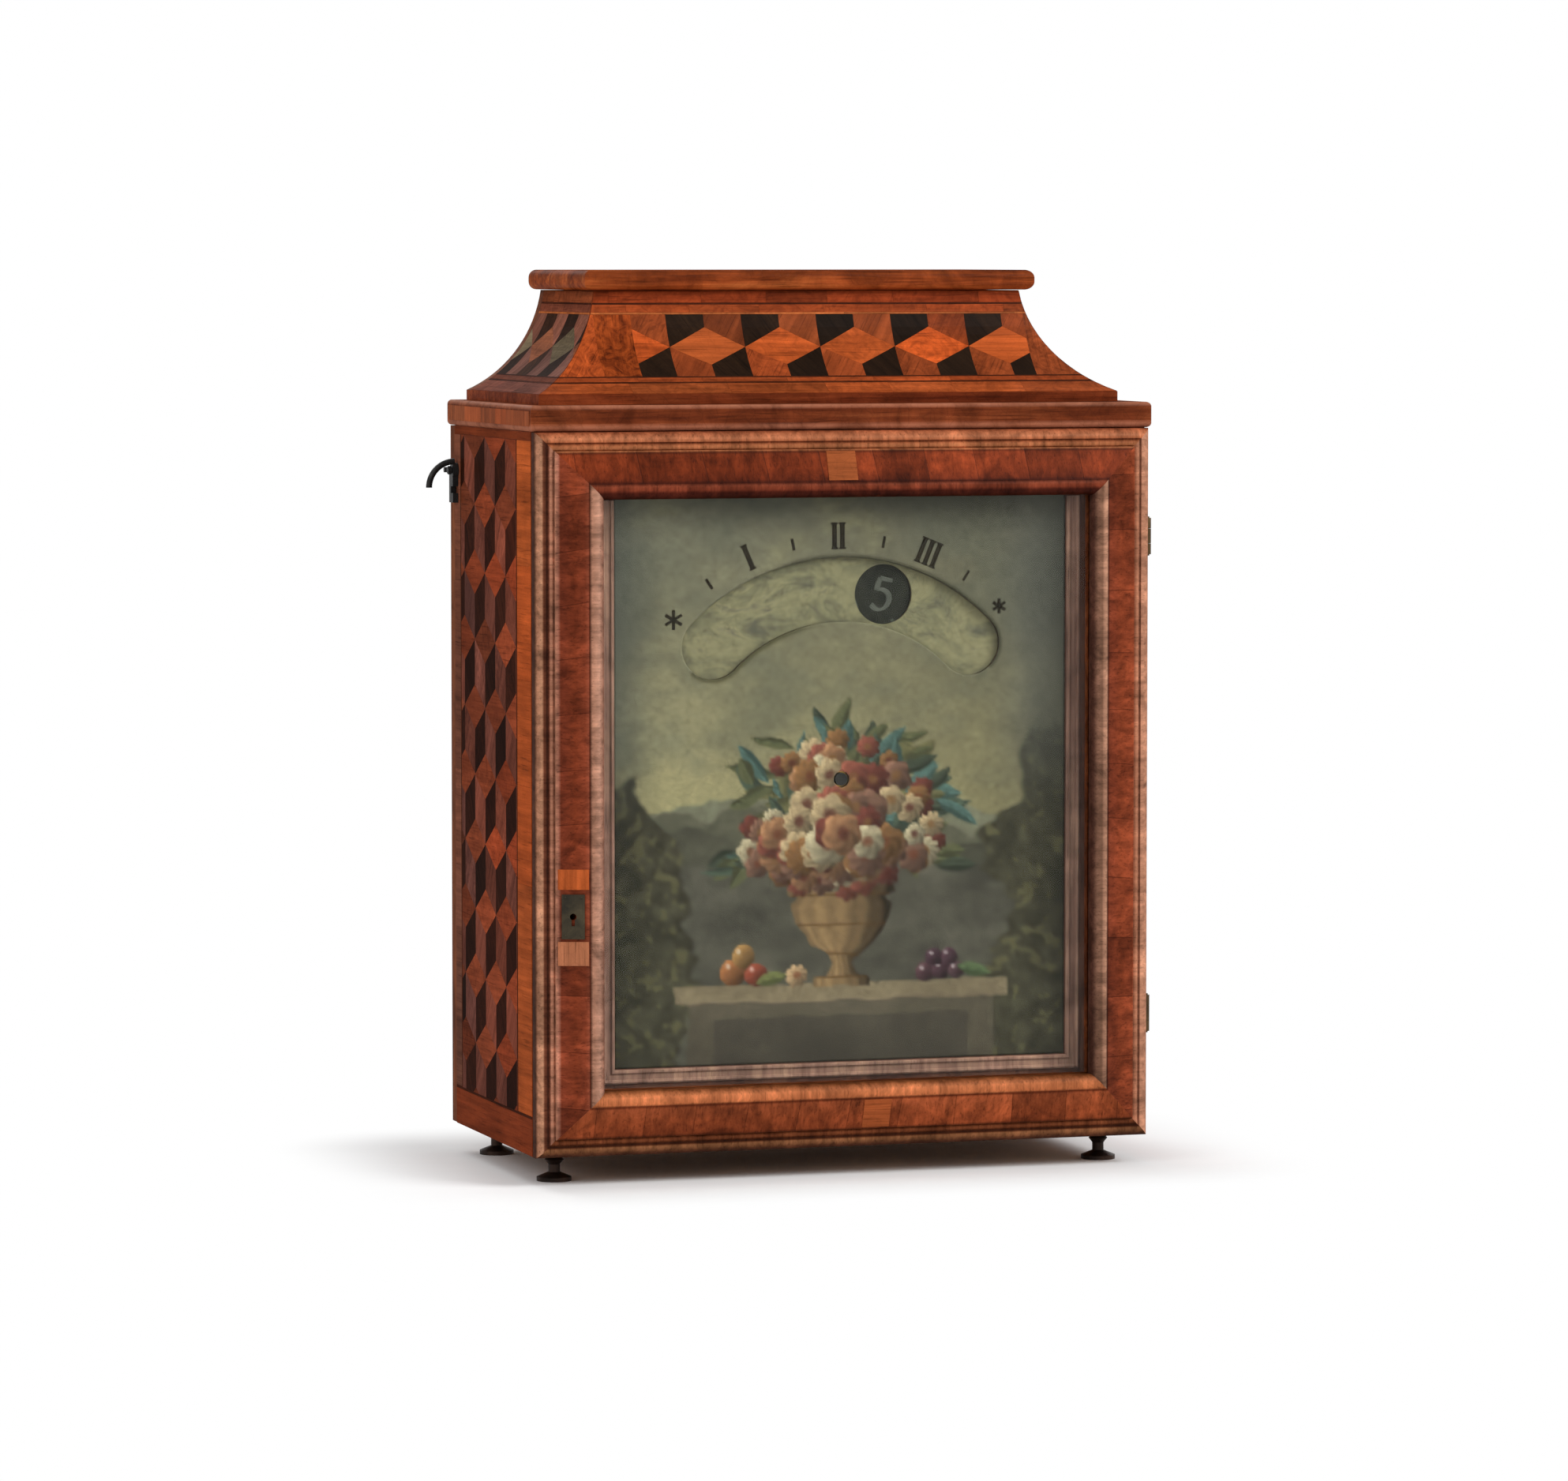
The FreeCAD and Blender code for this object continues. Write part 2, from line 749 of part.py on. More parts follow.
def lock():
    """The lock's pieces; returns the keyhole to bore through the stile."""
    tall = s.lock_case_height / 2
    case = box("LockBlock", (lock_left, lock_right), (door_back, door_back + s.lock_case_depth),
               (lock_level - tall, lock_level + tall))
    play = s.bolt_play
    half_bolt = s.bolt_height / 2
    channel = box("BoltChannel", (lock_left - s.cut_margin, lock_left + s.bolt_length + play),
                  (bolt_front - play, bolt_front + s.bolt_thick + play),
                  (lock_level - half_bolt - play, lock_level + half_bolt + play))
    node(cut("LockCase", case, [channel]), "lock_case")
    bolt = box("Bolt", (lock_left, lock_left + s.bolt_length), (bolt_front, bolt_front + s.bolt_thick),
               (lock_level - half_bolt, lock_level + half_bolt))
    node(bolt, "lock_bolt")

    wide = s.lock_plate_width / 2
    high = s.lock_plate_height / 2
    plate = box("PlateBlank", (-wide, wide), (-s.lock_plate_thick, ZERO), (-high, high))
    through = (-s.lock_plate_thick * 2, s.lock_plate_thick * 2)
    eye = rod("PlateEye", s.keyhole_radius, "Y", through, (ZERO, ZERO))
    narrow = s.keyhole_radius / 2
    slit = box("PlateSlit", (-narrow, narrow), through, (-s.keyhole_drop, ZERO))
    plate = cut("LockPlate", plate, [eye, slit])
    slope = arctangent(s.slope_rise / slope_width)
    plate.Placement = Placement(Vector(), Rotation(Vector(0, 0, 1), -slope.value))
    node(place(plate, slope_middle[0], slope_middle[1], lock_level), "lock_plate")
    return rod("Keyhole", s.keyhole_radius, "Y", (front - s.frame_width, door_back + s.cut_margin),
               (slope_middle[0], lock_level))


# Hinges: built about their own pin, leaves towards -X and the moving leaf on the +Y side
def hinge(name, where, turn):
    """One hinge as (fixed leaf, moving leaf, pin, fixed recess, moving recess)."""
    tall = s.hinge_height / 2
    middle = s.hinge_middle / 2
    barrel = s.hinge_barrel_radius
    neck = -(barrel + s.barrel_play)
    gap = s.door_gap / 2
    hole = s.hinge_pin_radius + s.running_play
    knuckle_runs = {
        "Fixed": [(-tall, -middle - s.hinge_play), (middle + s.hinge_play, tall)],
        "Moving": [(-middle, middle)],
    }
    results = []
    recesses = []
    for kind, sign in (("Fixed", -1), ("Moving", 1)):
        tag = name + kind
        faces = [sign * gap, sign * (gap + s.hinge_leaf_thick)]
        thick = tuple(faces if sign > 0 else reversed(faces))
        pieces = [box(tag + "Leaf", (-s.hinge_leaf_width, neck), thick, (-tall, tall))]
        for index, run in enumerate(knuckle_runs[kind]):
            pieces.append(box("%sTongue%d" % (tag, index), (neck, ZERO), thick, run))
            pieces.append(rod("%sKnuckle%d" % (tag, index), barrel, "Z", run, (ZERO, ZERO)))
        bore = rod(tag + "Bore", hole, "Z", (-tall - s.cut_margin, tall + s.cut_margin), (ZERO, ZERO))
        results.append(cut(tag, fuse(tag + "Solid", pieces), [bore]))
        spare = s.hinge_head_thick + s.barrel_play
        recess = [
            box(tag + "Bed", (-s.hinge_leaf_width, barrel), thick, (-tall, tall)),
            rod(tag + "Room", barrel + s.barrel_play, "Z", (-tall - spare, tall + spare), (ZERO, ZERO)),
        ]
        recesses.append(fuse(tag + "Recess", recess))
    pin_parts = [rod(name + "Shank", s.hinge_pin_radius, "Z", (-tall, tall), (ZERO, ZERO))]
    for index, run in enumerate(((-tall - s.hinge_head_thick, -tall), (tall, tall + s.hinge_head_thick))):
        pin_parts.append(rod("%sHead%d" % (name, index), s.hinge_head_radius, "Z", run, (ZERO, ZERO)))
    results.append(fuse(name + "Pin", pin_parts))
    for item in results + recesses:
        item.Placement = Placement(Vector(), turn)
        place(item, *where)
    return results + recesses


FRONT_TURN = Rotation(Vector(1, 0, 0), Vector(0, -1, 0), Vector(0, 0, -1), "XYZ")
REAR_TURN = Rotation(Vector(1, 0, 0), Vector(0, 1, 0), Vector(0, 0, 1), "XYZ")
CAP_TURN = Rotation(Vector(0, 1, 0), Vector(0, 0, 1), Vector(1, 0, 0), "XYZ")


def hinges():
    """All hinges, sorted by door: lists of fixed leaves, moving leaves, pins and recesses."""
    axis_x = half + s.hinge_stand
    levels = (underside + s.door_hinge_low, side_top - s.door_hinge_drop)
    front_y = door_back + s.door_gap / 2
    rear_y = rear_door_front - s.door_gap / 2
    cap_y = back + s.hinge_stand
    cap_z = hood_top + s.door_gap / 2
    places = {
        "front": [((axis_x, front_y, level), FRONT_TURN) for level in levels],
        "rear": [((axis_x, rear_y, level), REAR_TURN) for level in levels],
        "cap": [((side * s.cap_hinge_spacing / 2, cap_y, cap_z), CAP_TURN) for side in (-1, 1)],
    }
    sets = {}
    for door, spots in places.items():
        made = [hinge("%sHinge%d" % (door, index), *spot) for index, spot in enumerate(spots)]
        sets[door] = SimpleNamespace(
            fixed=[item[0] for item in made],
            moving=[item[1] for item in made],
            pins=[item[2] for item in made],
            fixed_cuts=[item[3] for item in made],
            moving_cuts=[item[4] for item in made],
        )
    case_leaves = sets["front"].fixed + sets["rear"].fixed + sets["cap"].fixed
    node(group("CaseLeaves", case_leaves), "case_hinge_leaves")
    node(group("DoorLeaves", sets["front"].moving), "door_hinge_leaves")
    node(group("RearLeaves", sets["rear"].moving), "rear_door_hinge_leaves")
    node(group("CapLeaves", sets["cap"].moving), "cap_hinge_leaves")
    all_pins = sets["front"].pins + sets["rear"].pins + sets["cap"].pins
    node(group("HingePins", all_pins), "hinge_pins")
    return sets


# Rear door and its latch
def rear_door(hinge_cuts):
    panel = box("RearBoard", (-half, half), (rear_door_front, back),
                (underside + s.door_gap, side_top - s.door_gap))
    node(cut("RearDoor", panel, hinge_cuts), "rear_door_panel")
    stud_y = rear_door_front + s.rear_door_thick / 2
    stud = rod("LatchStud", s.latch_stud_radius, "X", (-half - s.latch_stud_length, -half),
               (stud_y, latch_at[1]))
    node(stud, "latch_stud")


def latch():
    """A forged hook: eye, hanging arm with a notch for the stud, and a curled finger tail."""
    y, z = latch_at
    near = -half - s.latch_stand
    far = near - s.latch_thick
    span = (far, near)
    eye = rod("HookEye", s.latch_eye_radius, "X", span, latch_at)
    arm = box("HookArm", span, (y - s.latch_arm_front, y + s.latch_arm_back), (z - s.latch_arm_length, z))
    reach = rear_door_front + s.rear_door_thick / 2 - y
    slot_half = s.latch_stud_radius + s.latch_play
    notch = box("HookNotch", (far - s.cut_margin, near + s.cut_margin),
                (y - s.latch_arm_front - s.cut_margin, y + slot_half),
                (z - reach - slot_half, z - reach + slot_half))
    tail = doc.addObject("Part::Torus", "HookTail")
    bind(tail, "Radius1", s.latch_tail_radius)
    bind(tail, "Radius2", s.latch_tail_thick / 2)
    tail.Angle3 = 90
    tail.Placement = Placement(Vector(), Rotation(Vector(-1, 0, 0), Vector(0, 0, 1), Vector(0, 1, 0), "XYZ"))
    tail_x = (far + near) / 2
    tail_rise = s.latch_head_radius + s.latch_tail_thick / 2 + s.latch_play * 2
    place(tail, tail_x, y, z - s.latch_tail_radius + tail_rise)
    shank = s.latch_pivot_radius + s.running_play
    bore = rod("HookBore", shank, "X", (far - s.latch_tail_thick, near + s.cut_margin), latch_at)
    node(cut("Hook", fuse("HookSolid", [eye, arm, tail]), [notch, bore]), "latch_hook")
    head_face = far - s.latch_stand
    pin = rod("PivotShank", s.latch_pivot_radius, "X", (head_face, s.latch_pivot_depth - half), latch_at)
    head = rod("PivotHead", s.latch_head_radius, "X", (head_face - s.latch_head_thick, head_face), latch_at)
    node(fuse("LatchPivot", [pin, head]), "latch_pivot")


# Dial frame and dial plate
def dial():
    wide = dial_wide
    low = dial_low
    high = dial_high
    frame_back = carcass_front + s.dial_frame_thick
    blank = box("FrameBlank", (-inner, inner), (carcass_front, frame_back), (base_top, side_top))
    rebate = box("FrameRebate", (-wide, wide), (carcass_front - s.cut_margin, dial_back), (low, high))
    lip = s.dial_lip
    opening = box("FrameOpening", (lip - wide, wide - lip),
                  (carcass_front - s.cut_margin, frame_back + s.cut_margin), (low + lip, high - lip))
    room = s.lock_room
    tall = s.lock_case_height / 2 + room
    lock_bay = box("LockBay", (-inner - s.cut_margin, lock_right + room),
                   (carcass_front - s.cut_margin, frame_back + s.cut_margin),
                   (lock_level - tall, lock_level + tall))
    carrier_bay = rod("CarrierBay", carrier_radius + s.carrier_room, "Y",
                      (dial_back, frame_back + s.cut_margin), carrier_at)
    node(cut("DialFrame", blank, [rebate, opening, lock_bay, carrier_bay]), "dial_frame")

    plate = box("DialBlank", (-wide, wide), (dial_front, dial_back), (low, high))
    span = (dial_front - s.cut_margin, dial_back + s.cut_margin)
    reach = s.slot_width / 2
    start = Rotation(Vector(0, 0, 1), -(UPWARD + s.slot_span.value / 2))
    sector = rod("SlotSector", s.slot_radius + reach, "Y", span, carrier_at, start, s.slot_span)
    core = rod("SlotCore", s.slot_radius - reach, "Y", span, carrier_at)
    tools = [cut("SlotBand", sector, [core])]
    for side in (-1, 1):
        end = (carrier_at[0] + side * s.slot_radius * sine(s.slot_span / 2),
               carrier_at[1] + s.slot_radius * cosine(s.slot_span / 2))
        tools.append(rod("SlotEnd%d" % side, reach, "Y", span, end))
    tools.append(rod("ArborHole", s.arbor_hole_radius, "Y", span, carrier_at))
    node(cut("DialPlate", plate, tools), "dial_plate")


# Toothed pieces: an outline worked out tooth by tooth, about the Y axis
def toothed(teeth, tip_radius, root_radius, tip_share, root_share, first, y_span, lean=0.0):
    """A toothed disc; a tooth stands at the angle first, and lean shifts the tips by that share."""
    pitch = 2 * math.pi / teeth
    points = []
    for index in range(int(teeth)):
        middle = math.radians(first) + index * pitch
        for radius, share, shift in (
            (root_radius, -root_share, 0),
            (tip_radius, -tip_share, lean),
            (tip_radius, tip_share, lean),
            (root_radius, root_share, 0),
        ):
            angle = middle + (share / 2 + shift) * pitch
            points.append(Vector(radius * math.cos(angle), y_span[0].value, radius * math.sin(angle)))
    face = Part.Face(Part.makePolygon(points + points[:1]))
    return face.extrude(Vector(0, y_span[1].value - y_span[0].value, 0))


def shaft(radius, y_span):
    return Part.makeCylinder(radius.value, y_span[1].value - y_span[0].value,
                             Vector(0, y_span[0].value, 0), Vector(0, 1, 0))


# Tooth forms: heights in modules, widths and lean as shares of the pitch
WHEEL_ADDENDUM = 0.95
WHEEL_DEDENDUM = 1.3
WHEEL_TIP_SHARE = 0.14
WHEEL_ROOT_SHARE = 0.54
LEAF_ADDENDUM = 0.75
LEAF_DEDENDUM = 1.3
LEAF_TIP_SHARE = 0.16
LEAF_ROOT_SHARE = 0.40
STAR_TIP_SHARE = 0.1
STAR_ROOT_SHARE = 0.9
ESCAPE_TIP_SHARE = 0.08
ESCAPE_ROOT_SHARE = 0.8
ESCAPE_LEAN = 0.25
RATCHET_TIP_SHARE = 0.06
RATCHET_ROOT_SHARE = 0.9
RATCHET_LEAN = 0.4
UPWARD = 90
DISC_COUNT = 4
DISC_STEP = 360 / DISC_COUNT


def wheel_blank(teeth, module, toward, y_span):
    radius = teeth.value * module.value / 2
    tip = radius + WHEEL_ADDENDUM * module.value
    base = radius - WHEEL_DEDENDUM * module.value
    return toothed(teeth.value, tip, base, WHEEL_TIP_SHARE, WHEEL_ROOT_SHARE, toward, y_span)


def pinion(leaves, module, toward, y_span):
    """A pinion with a gap, not a leaf, facing the angle toward."""
    radius = leaves.value * module.value / 2
    first = toward + 180 / leaves.value
    tip = radius + LEAF_ADDENDUM * module.value
    base = radius - LEAF_DEDENDUM * module.value
    return toothed(leaves.value, tip, base, LEAF_TIP_SHARE, LEAF_ROOT_SHARE, first, y_span)


def crossed_out(wheel, rim_radius, y_span):
    """Leave a hub, a rim and four spokes."""
    ring = shaft(as_size(rim_radius), y_span).cut(shaft(s.hub_radius + s.rim_width, y_span))
    length = 2 * rim_radius
    width = s.spoke_width.value
    depth = y_span[1].value - y_span[0].value
    for size in ((length, width), (width, length)):
        spoke = Part.makeBox(size[0], depth, size[1], Vector(-size[0] / 2, y_span[0].value, -size[1] / 2))
        ring = ring.cut(spoke)
    return wheel.cut(ring)


def spoked_wheel(teeth, module, toward, y_span, bore):
    wheel = wheel_blank(teeth, module, toward, y_span)
    rim = (teeth.value / 2 - WHEEL_DEDENDUM) * module.value - s.rim_width.value
    return crossed_out(wheel, rim, y_span).cut(shaft(bore, y_span))


def feature(name, shape, where, label):
    item = doc.addObject("Part::Feature", name)
    item.Shape = shape.removeSplitter()
    item.Placement = Placement(Vector(where[0].value, 0, where[1].value), Rotation())
    return node(item, label)


def heading(start, end):
    """The angle, in degrees, of the way from one arbor to another."""
    return math.degrees(math.atan2((end[1] - start[1]).value, (end[0] - start[0]).value))


def polar(centre, radius, angle):
    return (centre[0] + radius * cosine(angle), centre[1] + radius * sine(angle))


# Hour carrier, its pipe and wheel, and the four hour discs
def hour_work():
    disc_ring = s.slot_radius - s.numeral_offset
    span = (carrier_front, carrier_back)
    wide_span = (carrier_front - s.cut_margin, carrier_back + s.cut_margin)
    blank = rod("CarrierBlank", carrier_radius, "Y", span, carrier_at)
    tools = [rod("CarrierBore", s.carrier_pipe_radius, "Y", wide_span, carrier_at)]
    posts = []
    for index in range(DISC_COUNT):
        angle = s.carrier_rest_angle + DISC_STEP * index
        tools.append(rod("Window%d" % index, s.window_radius, "Y", wide_span,
                         polar(carrier_at, s.slot_radius, angle)))
        at = polar(carrier_at, disc_ring, angle)
        posts.append(rod("Post%d" % index, s.disc_stud_radius, "Y", (carrier_back, post_end), at))
        posts.append(rod("PostHead%d" % index, s.disc_head_radius, "Y",
                         (post_end, post_end + s.disc_head_thick), at))
        tooth_span = (disc_back, star_back)
        star = toothed(s.star_points.value, s.star_radius.value, s.star_root_radius.value,
                       STAR_TIP_SHARE, STAR_ROOT_SHARE, angle.value, tooth_span)
        plate = shaft(s.hour_disc_radius, (disc_front, disc_back))
        bore = shaft(s.disc_stud_radius + s.running_play, (disc_front, star_back))
        feature("HourDisc%d" % index, plate.fuse(star).cut(bore), at, "hour_disc_%d" % (index + 1))
    carrier = fuse("CarrierSolid", [cut("CarrierPierced", blank, tools)] + posts)
    node(carrier, "hour_carrier")

    pipe = shaft(s.carrier_pipe_radius, (carrier_front - s.pipe_play, plate_front - s.pipe_play))
    bore = shaft(s.carrier_stud_radius + s.running_play, (carrier_front - s.pipe_play, plate_front))
    drive_y = (plate_front - s.pinion_length, plate_front - s.pinion_length + s.wheel_thick)
    wheel = spoked_wheel(s.carrier_teeth, s.carrier_module, heading(carrier_at, centre_at), drive_y,
                         s.carrier_pipe_radius)
    feature("CarrierWheel", wheel.fuse(pipe).cut(bore), carrier_at, "carrier_wheel")
    stud = rod("CarrierStud", s.carrier_stud_radius, "Y", (dial_front, plate_inside), carrier_at)
    node(stud, "carrier_stud")


# Movement: plates, pillars and train
def movement_frame():
    wide = s.plate_width / 2
    height = (seat_top, plate_high)
    kick_at = (ZERO, dial_axis - s.slot_radius + s.numeral_offset + s.star_radius)
    hole = s.pivot_radius + s.running_play
    pivots = [centre_at, third_at, escape_at]
    arbor_room = s.arbor_radius * 2
    for name, low, high, label in (
        ("FrontPlate", plate_front, plate_inside, "movement_front_plate"),
        ("BackPlate", back_plate_front, back_plate_rear, "movement_back_plate"),
    ):
        span = (low - s.cut_margin, high + s.cut_margin)
        blank = box(name + "Blank", (-wide, wide), (low, high), height)
        tools = [rod("%sPivot%d" % (name, i), hole, "Y", span, at) for i, at in enumerate(pivots)]
        tools.append(rod(name + "Winding", s.winding_radius + s.running_play, "Y", span, barrel_at))
        if label == "movement_front_plate":
            tools[0] = rod("CentreRoom", s.arbor_radius + s.running_play, "Y", span, centre_at)
            tools.append(rod("StudHole", s.carrier_stud_radius, "Y", span, carrier_at))
            tools.append(rod("AnchorPivot", hole, "Y", span, anchor_at))
            kick = rod("KickPin", s.pivot_radius, "Y", (post_tip + s.hour_disc_gap, low), kick_at)
            node(fuse("FrontPlateSolid", [cut(name, blank, tools), kick]), label)
        else:
            tools.append(rod("AnchorRoom", arbor_room, "Y", span, anchor_at))
            node(cut(name, blank, tools), label)
    profile = [
        (ZERO, ZERO),
        (s.pillar_radius, ZERO),
        (s.pillar_radius, s.pillar_radius),
        (s.pillar_waist, s.pillar_radius * 2),
        (s.pillar_waist, s.pillar_length - s.pillar_radius * 2),
        (s.pillar_radius, s.pillar_length - s.pillar_radius),
        (s.pillar_radius, s.pillar_length),
        (ZERO, s.pillar_length),
    ]
    pillars = []
    for side in (-1, 1):
        for level in (seat_top + s.pillar_inset, plate_high - s.pillar_inset):
            pillar = turned("Pillar%d" % (len(pillars) + 1), profile)
            pillar.Placement = Placement(Vector(), AXES["Y"])
            place(pillar, side * (wide - s.pillar_inset), plate_inside, level)
            pillars.append(pillar)
    node(group("Pillars", pillars), "movement_pillars")
    seat = box("SeatBoard", (-inner, inner), (plate_front - s.seat_thick / 2, back_plate_rear),
               (seat_top - s.seat_thick, seat_top))
    node(seat, "seat_board")


def arbor_shape(body_from, body_to, front_end, rear_end):
    """A plain arbor with a pivot at each end."""
    solid = shaft(s.arbor_radius, (body_from, body_to))
    return solid.fuse(shaft(s.pivot_radius, (front_end, rear_end)))


def train():
    inside_front = plate_inside + s.shoulder_play
    inside_rear = back_plate_front - s.shoulder_play
    front_wheel = (inside_front + s.pinion_length, inside_front + s.pinion_length + s.wheel_thick)
    rear_wheel = (inside_rear - s.pinion_length, inside_rear - s.pinion_length + s.wheel_thick)
    great_y = (rear_wheel[0] - s.pinion_length - s.wheel_thick, rear_wheel[0] - s.pinion_length)
    margin = (s.pinion_length - s.wheel_thick) / 2

    def leaf_span(wheel_y):
        return (wheel_y[0] - margin, wheel_y[1] + margin)

    drum = shaft(s.barrel_radius, (inside_front, great_y[0]))
    great = wheel_blank(s.great_teeth, s.great_module, heading(barrel_at, centre_at), great_y)
    bore = shaft(s.winding_radius + s.running_play, (inside_front, great_y[1]))
    feature("Barrel", drum.fuse(great).cut(bore), barrel_at, "spring_barrel")

    drive_y = (plate_front - s.pinion_length - margin, plate_front - s.shoulder_play)
    arbor = arbor_shape(drive_y[0], inside_rear, drive_y[0], back_plate_rear)
    leaves = pinion(s.centre_leaves, s.great_module, heading(centre_at, barrel_at), leaf_span(great_y))
    drive = pinion(s.drive_leaves, s.carrier_module, heading(centre_at, carrier_at), drive_y)
    feature("CentreArbor", arbor.fuse(leaves).fuse(drive), centre_at, "centre_arbor")
    toward = heading(centre_at, third_at)
    wheel = spoked_wheel(s.centre_teeth, s.centre_module, toward, rear_wheel, s.arbor_radius)
    feature("CentreWheel", wheel, centre_at, "centre_wheel")

    arbor = arbor_shape(inside_front, inside_rear, plate_front, back_plate_rear)
    leaves = pinion(s.third_leaves, s.centre_module, heading(third_at, centre_at), leaf_span(rear_wheel))
    feature("ThirdArbor", arbor.fuse(leaves), third_at, "third_arbor")
    toward = heading(third_at, escape_at)
    wheel = spoked_wheel(s.third_teeth, s.third_module, toward, front_wheel, s.arbor_radius)
    feature("ThirdWheel", wheel, third_at, "third_wheel")

    leaves = pinion(s.escape_leaves, s.third_module, heading(escape_at, third_at), leaf_span(front_wheel))
    feature("EscapeArbor", arbor.fuse(leaves), escape_at, "escape_arbor")
    escape_y = rear_wheel
    tip = s.escape_radius.value
    teeth = toothed(s.escape_teeth.value, tip, tip - s.escape_tooth.value,
                    ESCAPE_TIP_SHARE, ESCAPE_ROOT_SHARE, UPWARD, escape_y, ESCAPE_LEAN)
    rim = tip - s.escape_tooth.value - s.rim_width.value
    wheel = crossed_out(teeth, rim, escape_y).cut(shaft(s.arbor_radius, escape_y))
    feature("EscapeWheel", wheel, escape_at, "escape_wheel")
    return escape_y


def winding():
    spread = (plate_front, back_plate_rear + s.shoulder_play + s.ratchet_thick)
    arbor = rod("WindingArbor", s.winding_radius, "Y", spread, barrel_at)
    flat = s.winding_square / 2
    square = box("WindingSquare", (barrel_at[0] - flat, barrel_at[0] + flat),
                 (spread[1], spread[1] + s.winding_length), (barrel_at[1] - flat, barrel_at[1] + flat))
    node(fuse("Winding", [arbor, square]), "winding_arbor")
    ratchet_y = (back_plate_rear + s.shoulder_play, spread[1])
    teeth = toothed(s.ratchet_teeth.value, s.ratchet_radius.value, s.ratchet_root.value,
                    RATCHET_TIP_SHARE, RATCHET_ROOT_SHARE, UPWARD, ratchet_y, RATCHET_LEAN)
    feature("Ratchet", teeth.cut(shaft(s.winding_radius, ratchet_y)), barrel_at, "ratchet_wheel")

    click_x = barrel_at[0] + s.ratchet_radius + s.click_gap + s.click_width
    pivot = (click_x, barrel_at[1] - s.click_reach)
    lever = box("ClickLever", (click_x - s.click_width, click_x), ratchet_y, (pivot[1], barrel_at[1]))
    eye = rod("ClickEye", s.click_width, "Y", ratchet_y, pivot)
    hole = s.pivot_radius + s.running_play
    bore = rod("ClickBore", hole, "Y", (ratchet_y[0] - s.cut_margin, ratchet_y[1] + s.cut_margin), pivot)
    node(cut("Click", fuse("ClickSolid", [lever, eye]), [bore]), "click")
    screw = rod("ClickShank", s.pivot_radius, "Y", (back_plate_rear, ratchet_y[1] + s.shoulder_play), pivot)
    head = rod("ClickHead", s.pivot_radius * 2, "Y",
               (ratchet_y[1] + s.shoulder_play, ratchet_y[1] + s.shoulder_play * 3), pivot)
    node(fuse("ClickScrew", [screw, head]), "click_screw")


# Anchor, pendulum and cock
def anchor(escape_y, tab_front):
    low_radius = s.escape_radius + s.pallet_gap + s.anchor_lift
    spread = s.anchor_span.value / 2
    turn = Rotation(Vector(0, 0, 1), -(UPWARD + spread))
    core_y = (escape_y[0] - s.cut_margin, escape_y[1] + s.cut_margin)
    outer = rod("AnchorArc", low_radius + s.anchor_depth, "Y", escape_y, escape_at, turn, s.anchor_span)
    core = rod("AnchorCore", low_radius, "Y", core_y, escape_at)
    pieces = [cut("AnchorBand", outer, [core])]
    pallet_z = s.escape_radius + s.pallet_gap
    pallet_height = s.anchor_lift + s.anchor_depth / 2
    for side, name in ((-1, "PalletIn"), (1, "PalletOut")):
        shift = 0 if side < 0 else -s.pallet_width.value
        corner = Vector(shift, escape_y[0].value, pallet_z.value)
        pallet = doc.addObject("Part::Feature", name)
        pallet.Shape = Part.makeBox(s.pallet_width.value, s.wheel_thick.value, pallet_height.value, corner)
        centre = Vector(escape_at[0].value, 0, escape_at[1].value)
        pallet.Placement = Placement(centre, Rotation(Vector(0, 1, 0), side * spread))
        pieces.append(pallet)
    pieces.append(rod("AnchorHub", s.hub_radius, "Y", escape_y, anchor_at))
    body_y = (plate_inside + s.shoulder_play, tab_front - s.shoulder_play)
    pieces.append(rod("PalletArbor", s.arbor_radius, "Y", body_y, anchor_at))
    pivot_y = (plate_front, tab_front + s.cock_thick)
    pieces.append(rod("PalletPivots", s.pivot_radius, "Y", pivot_y, anchor_at))
    node(fuse("Anchor", pieces), "anchor")


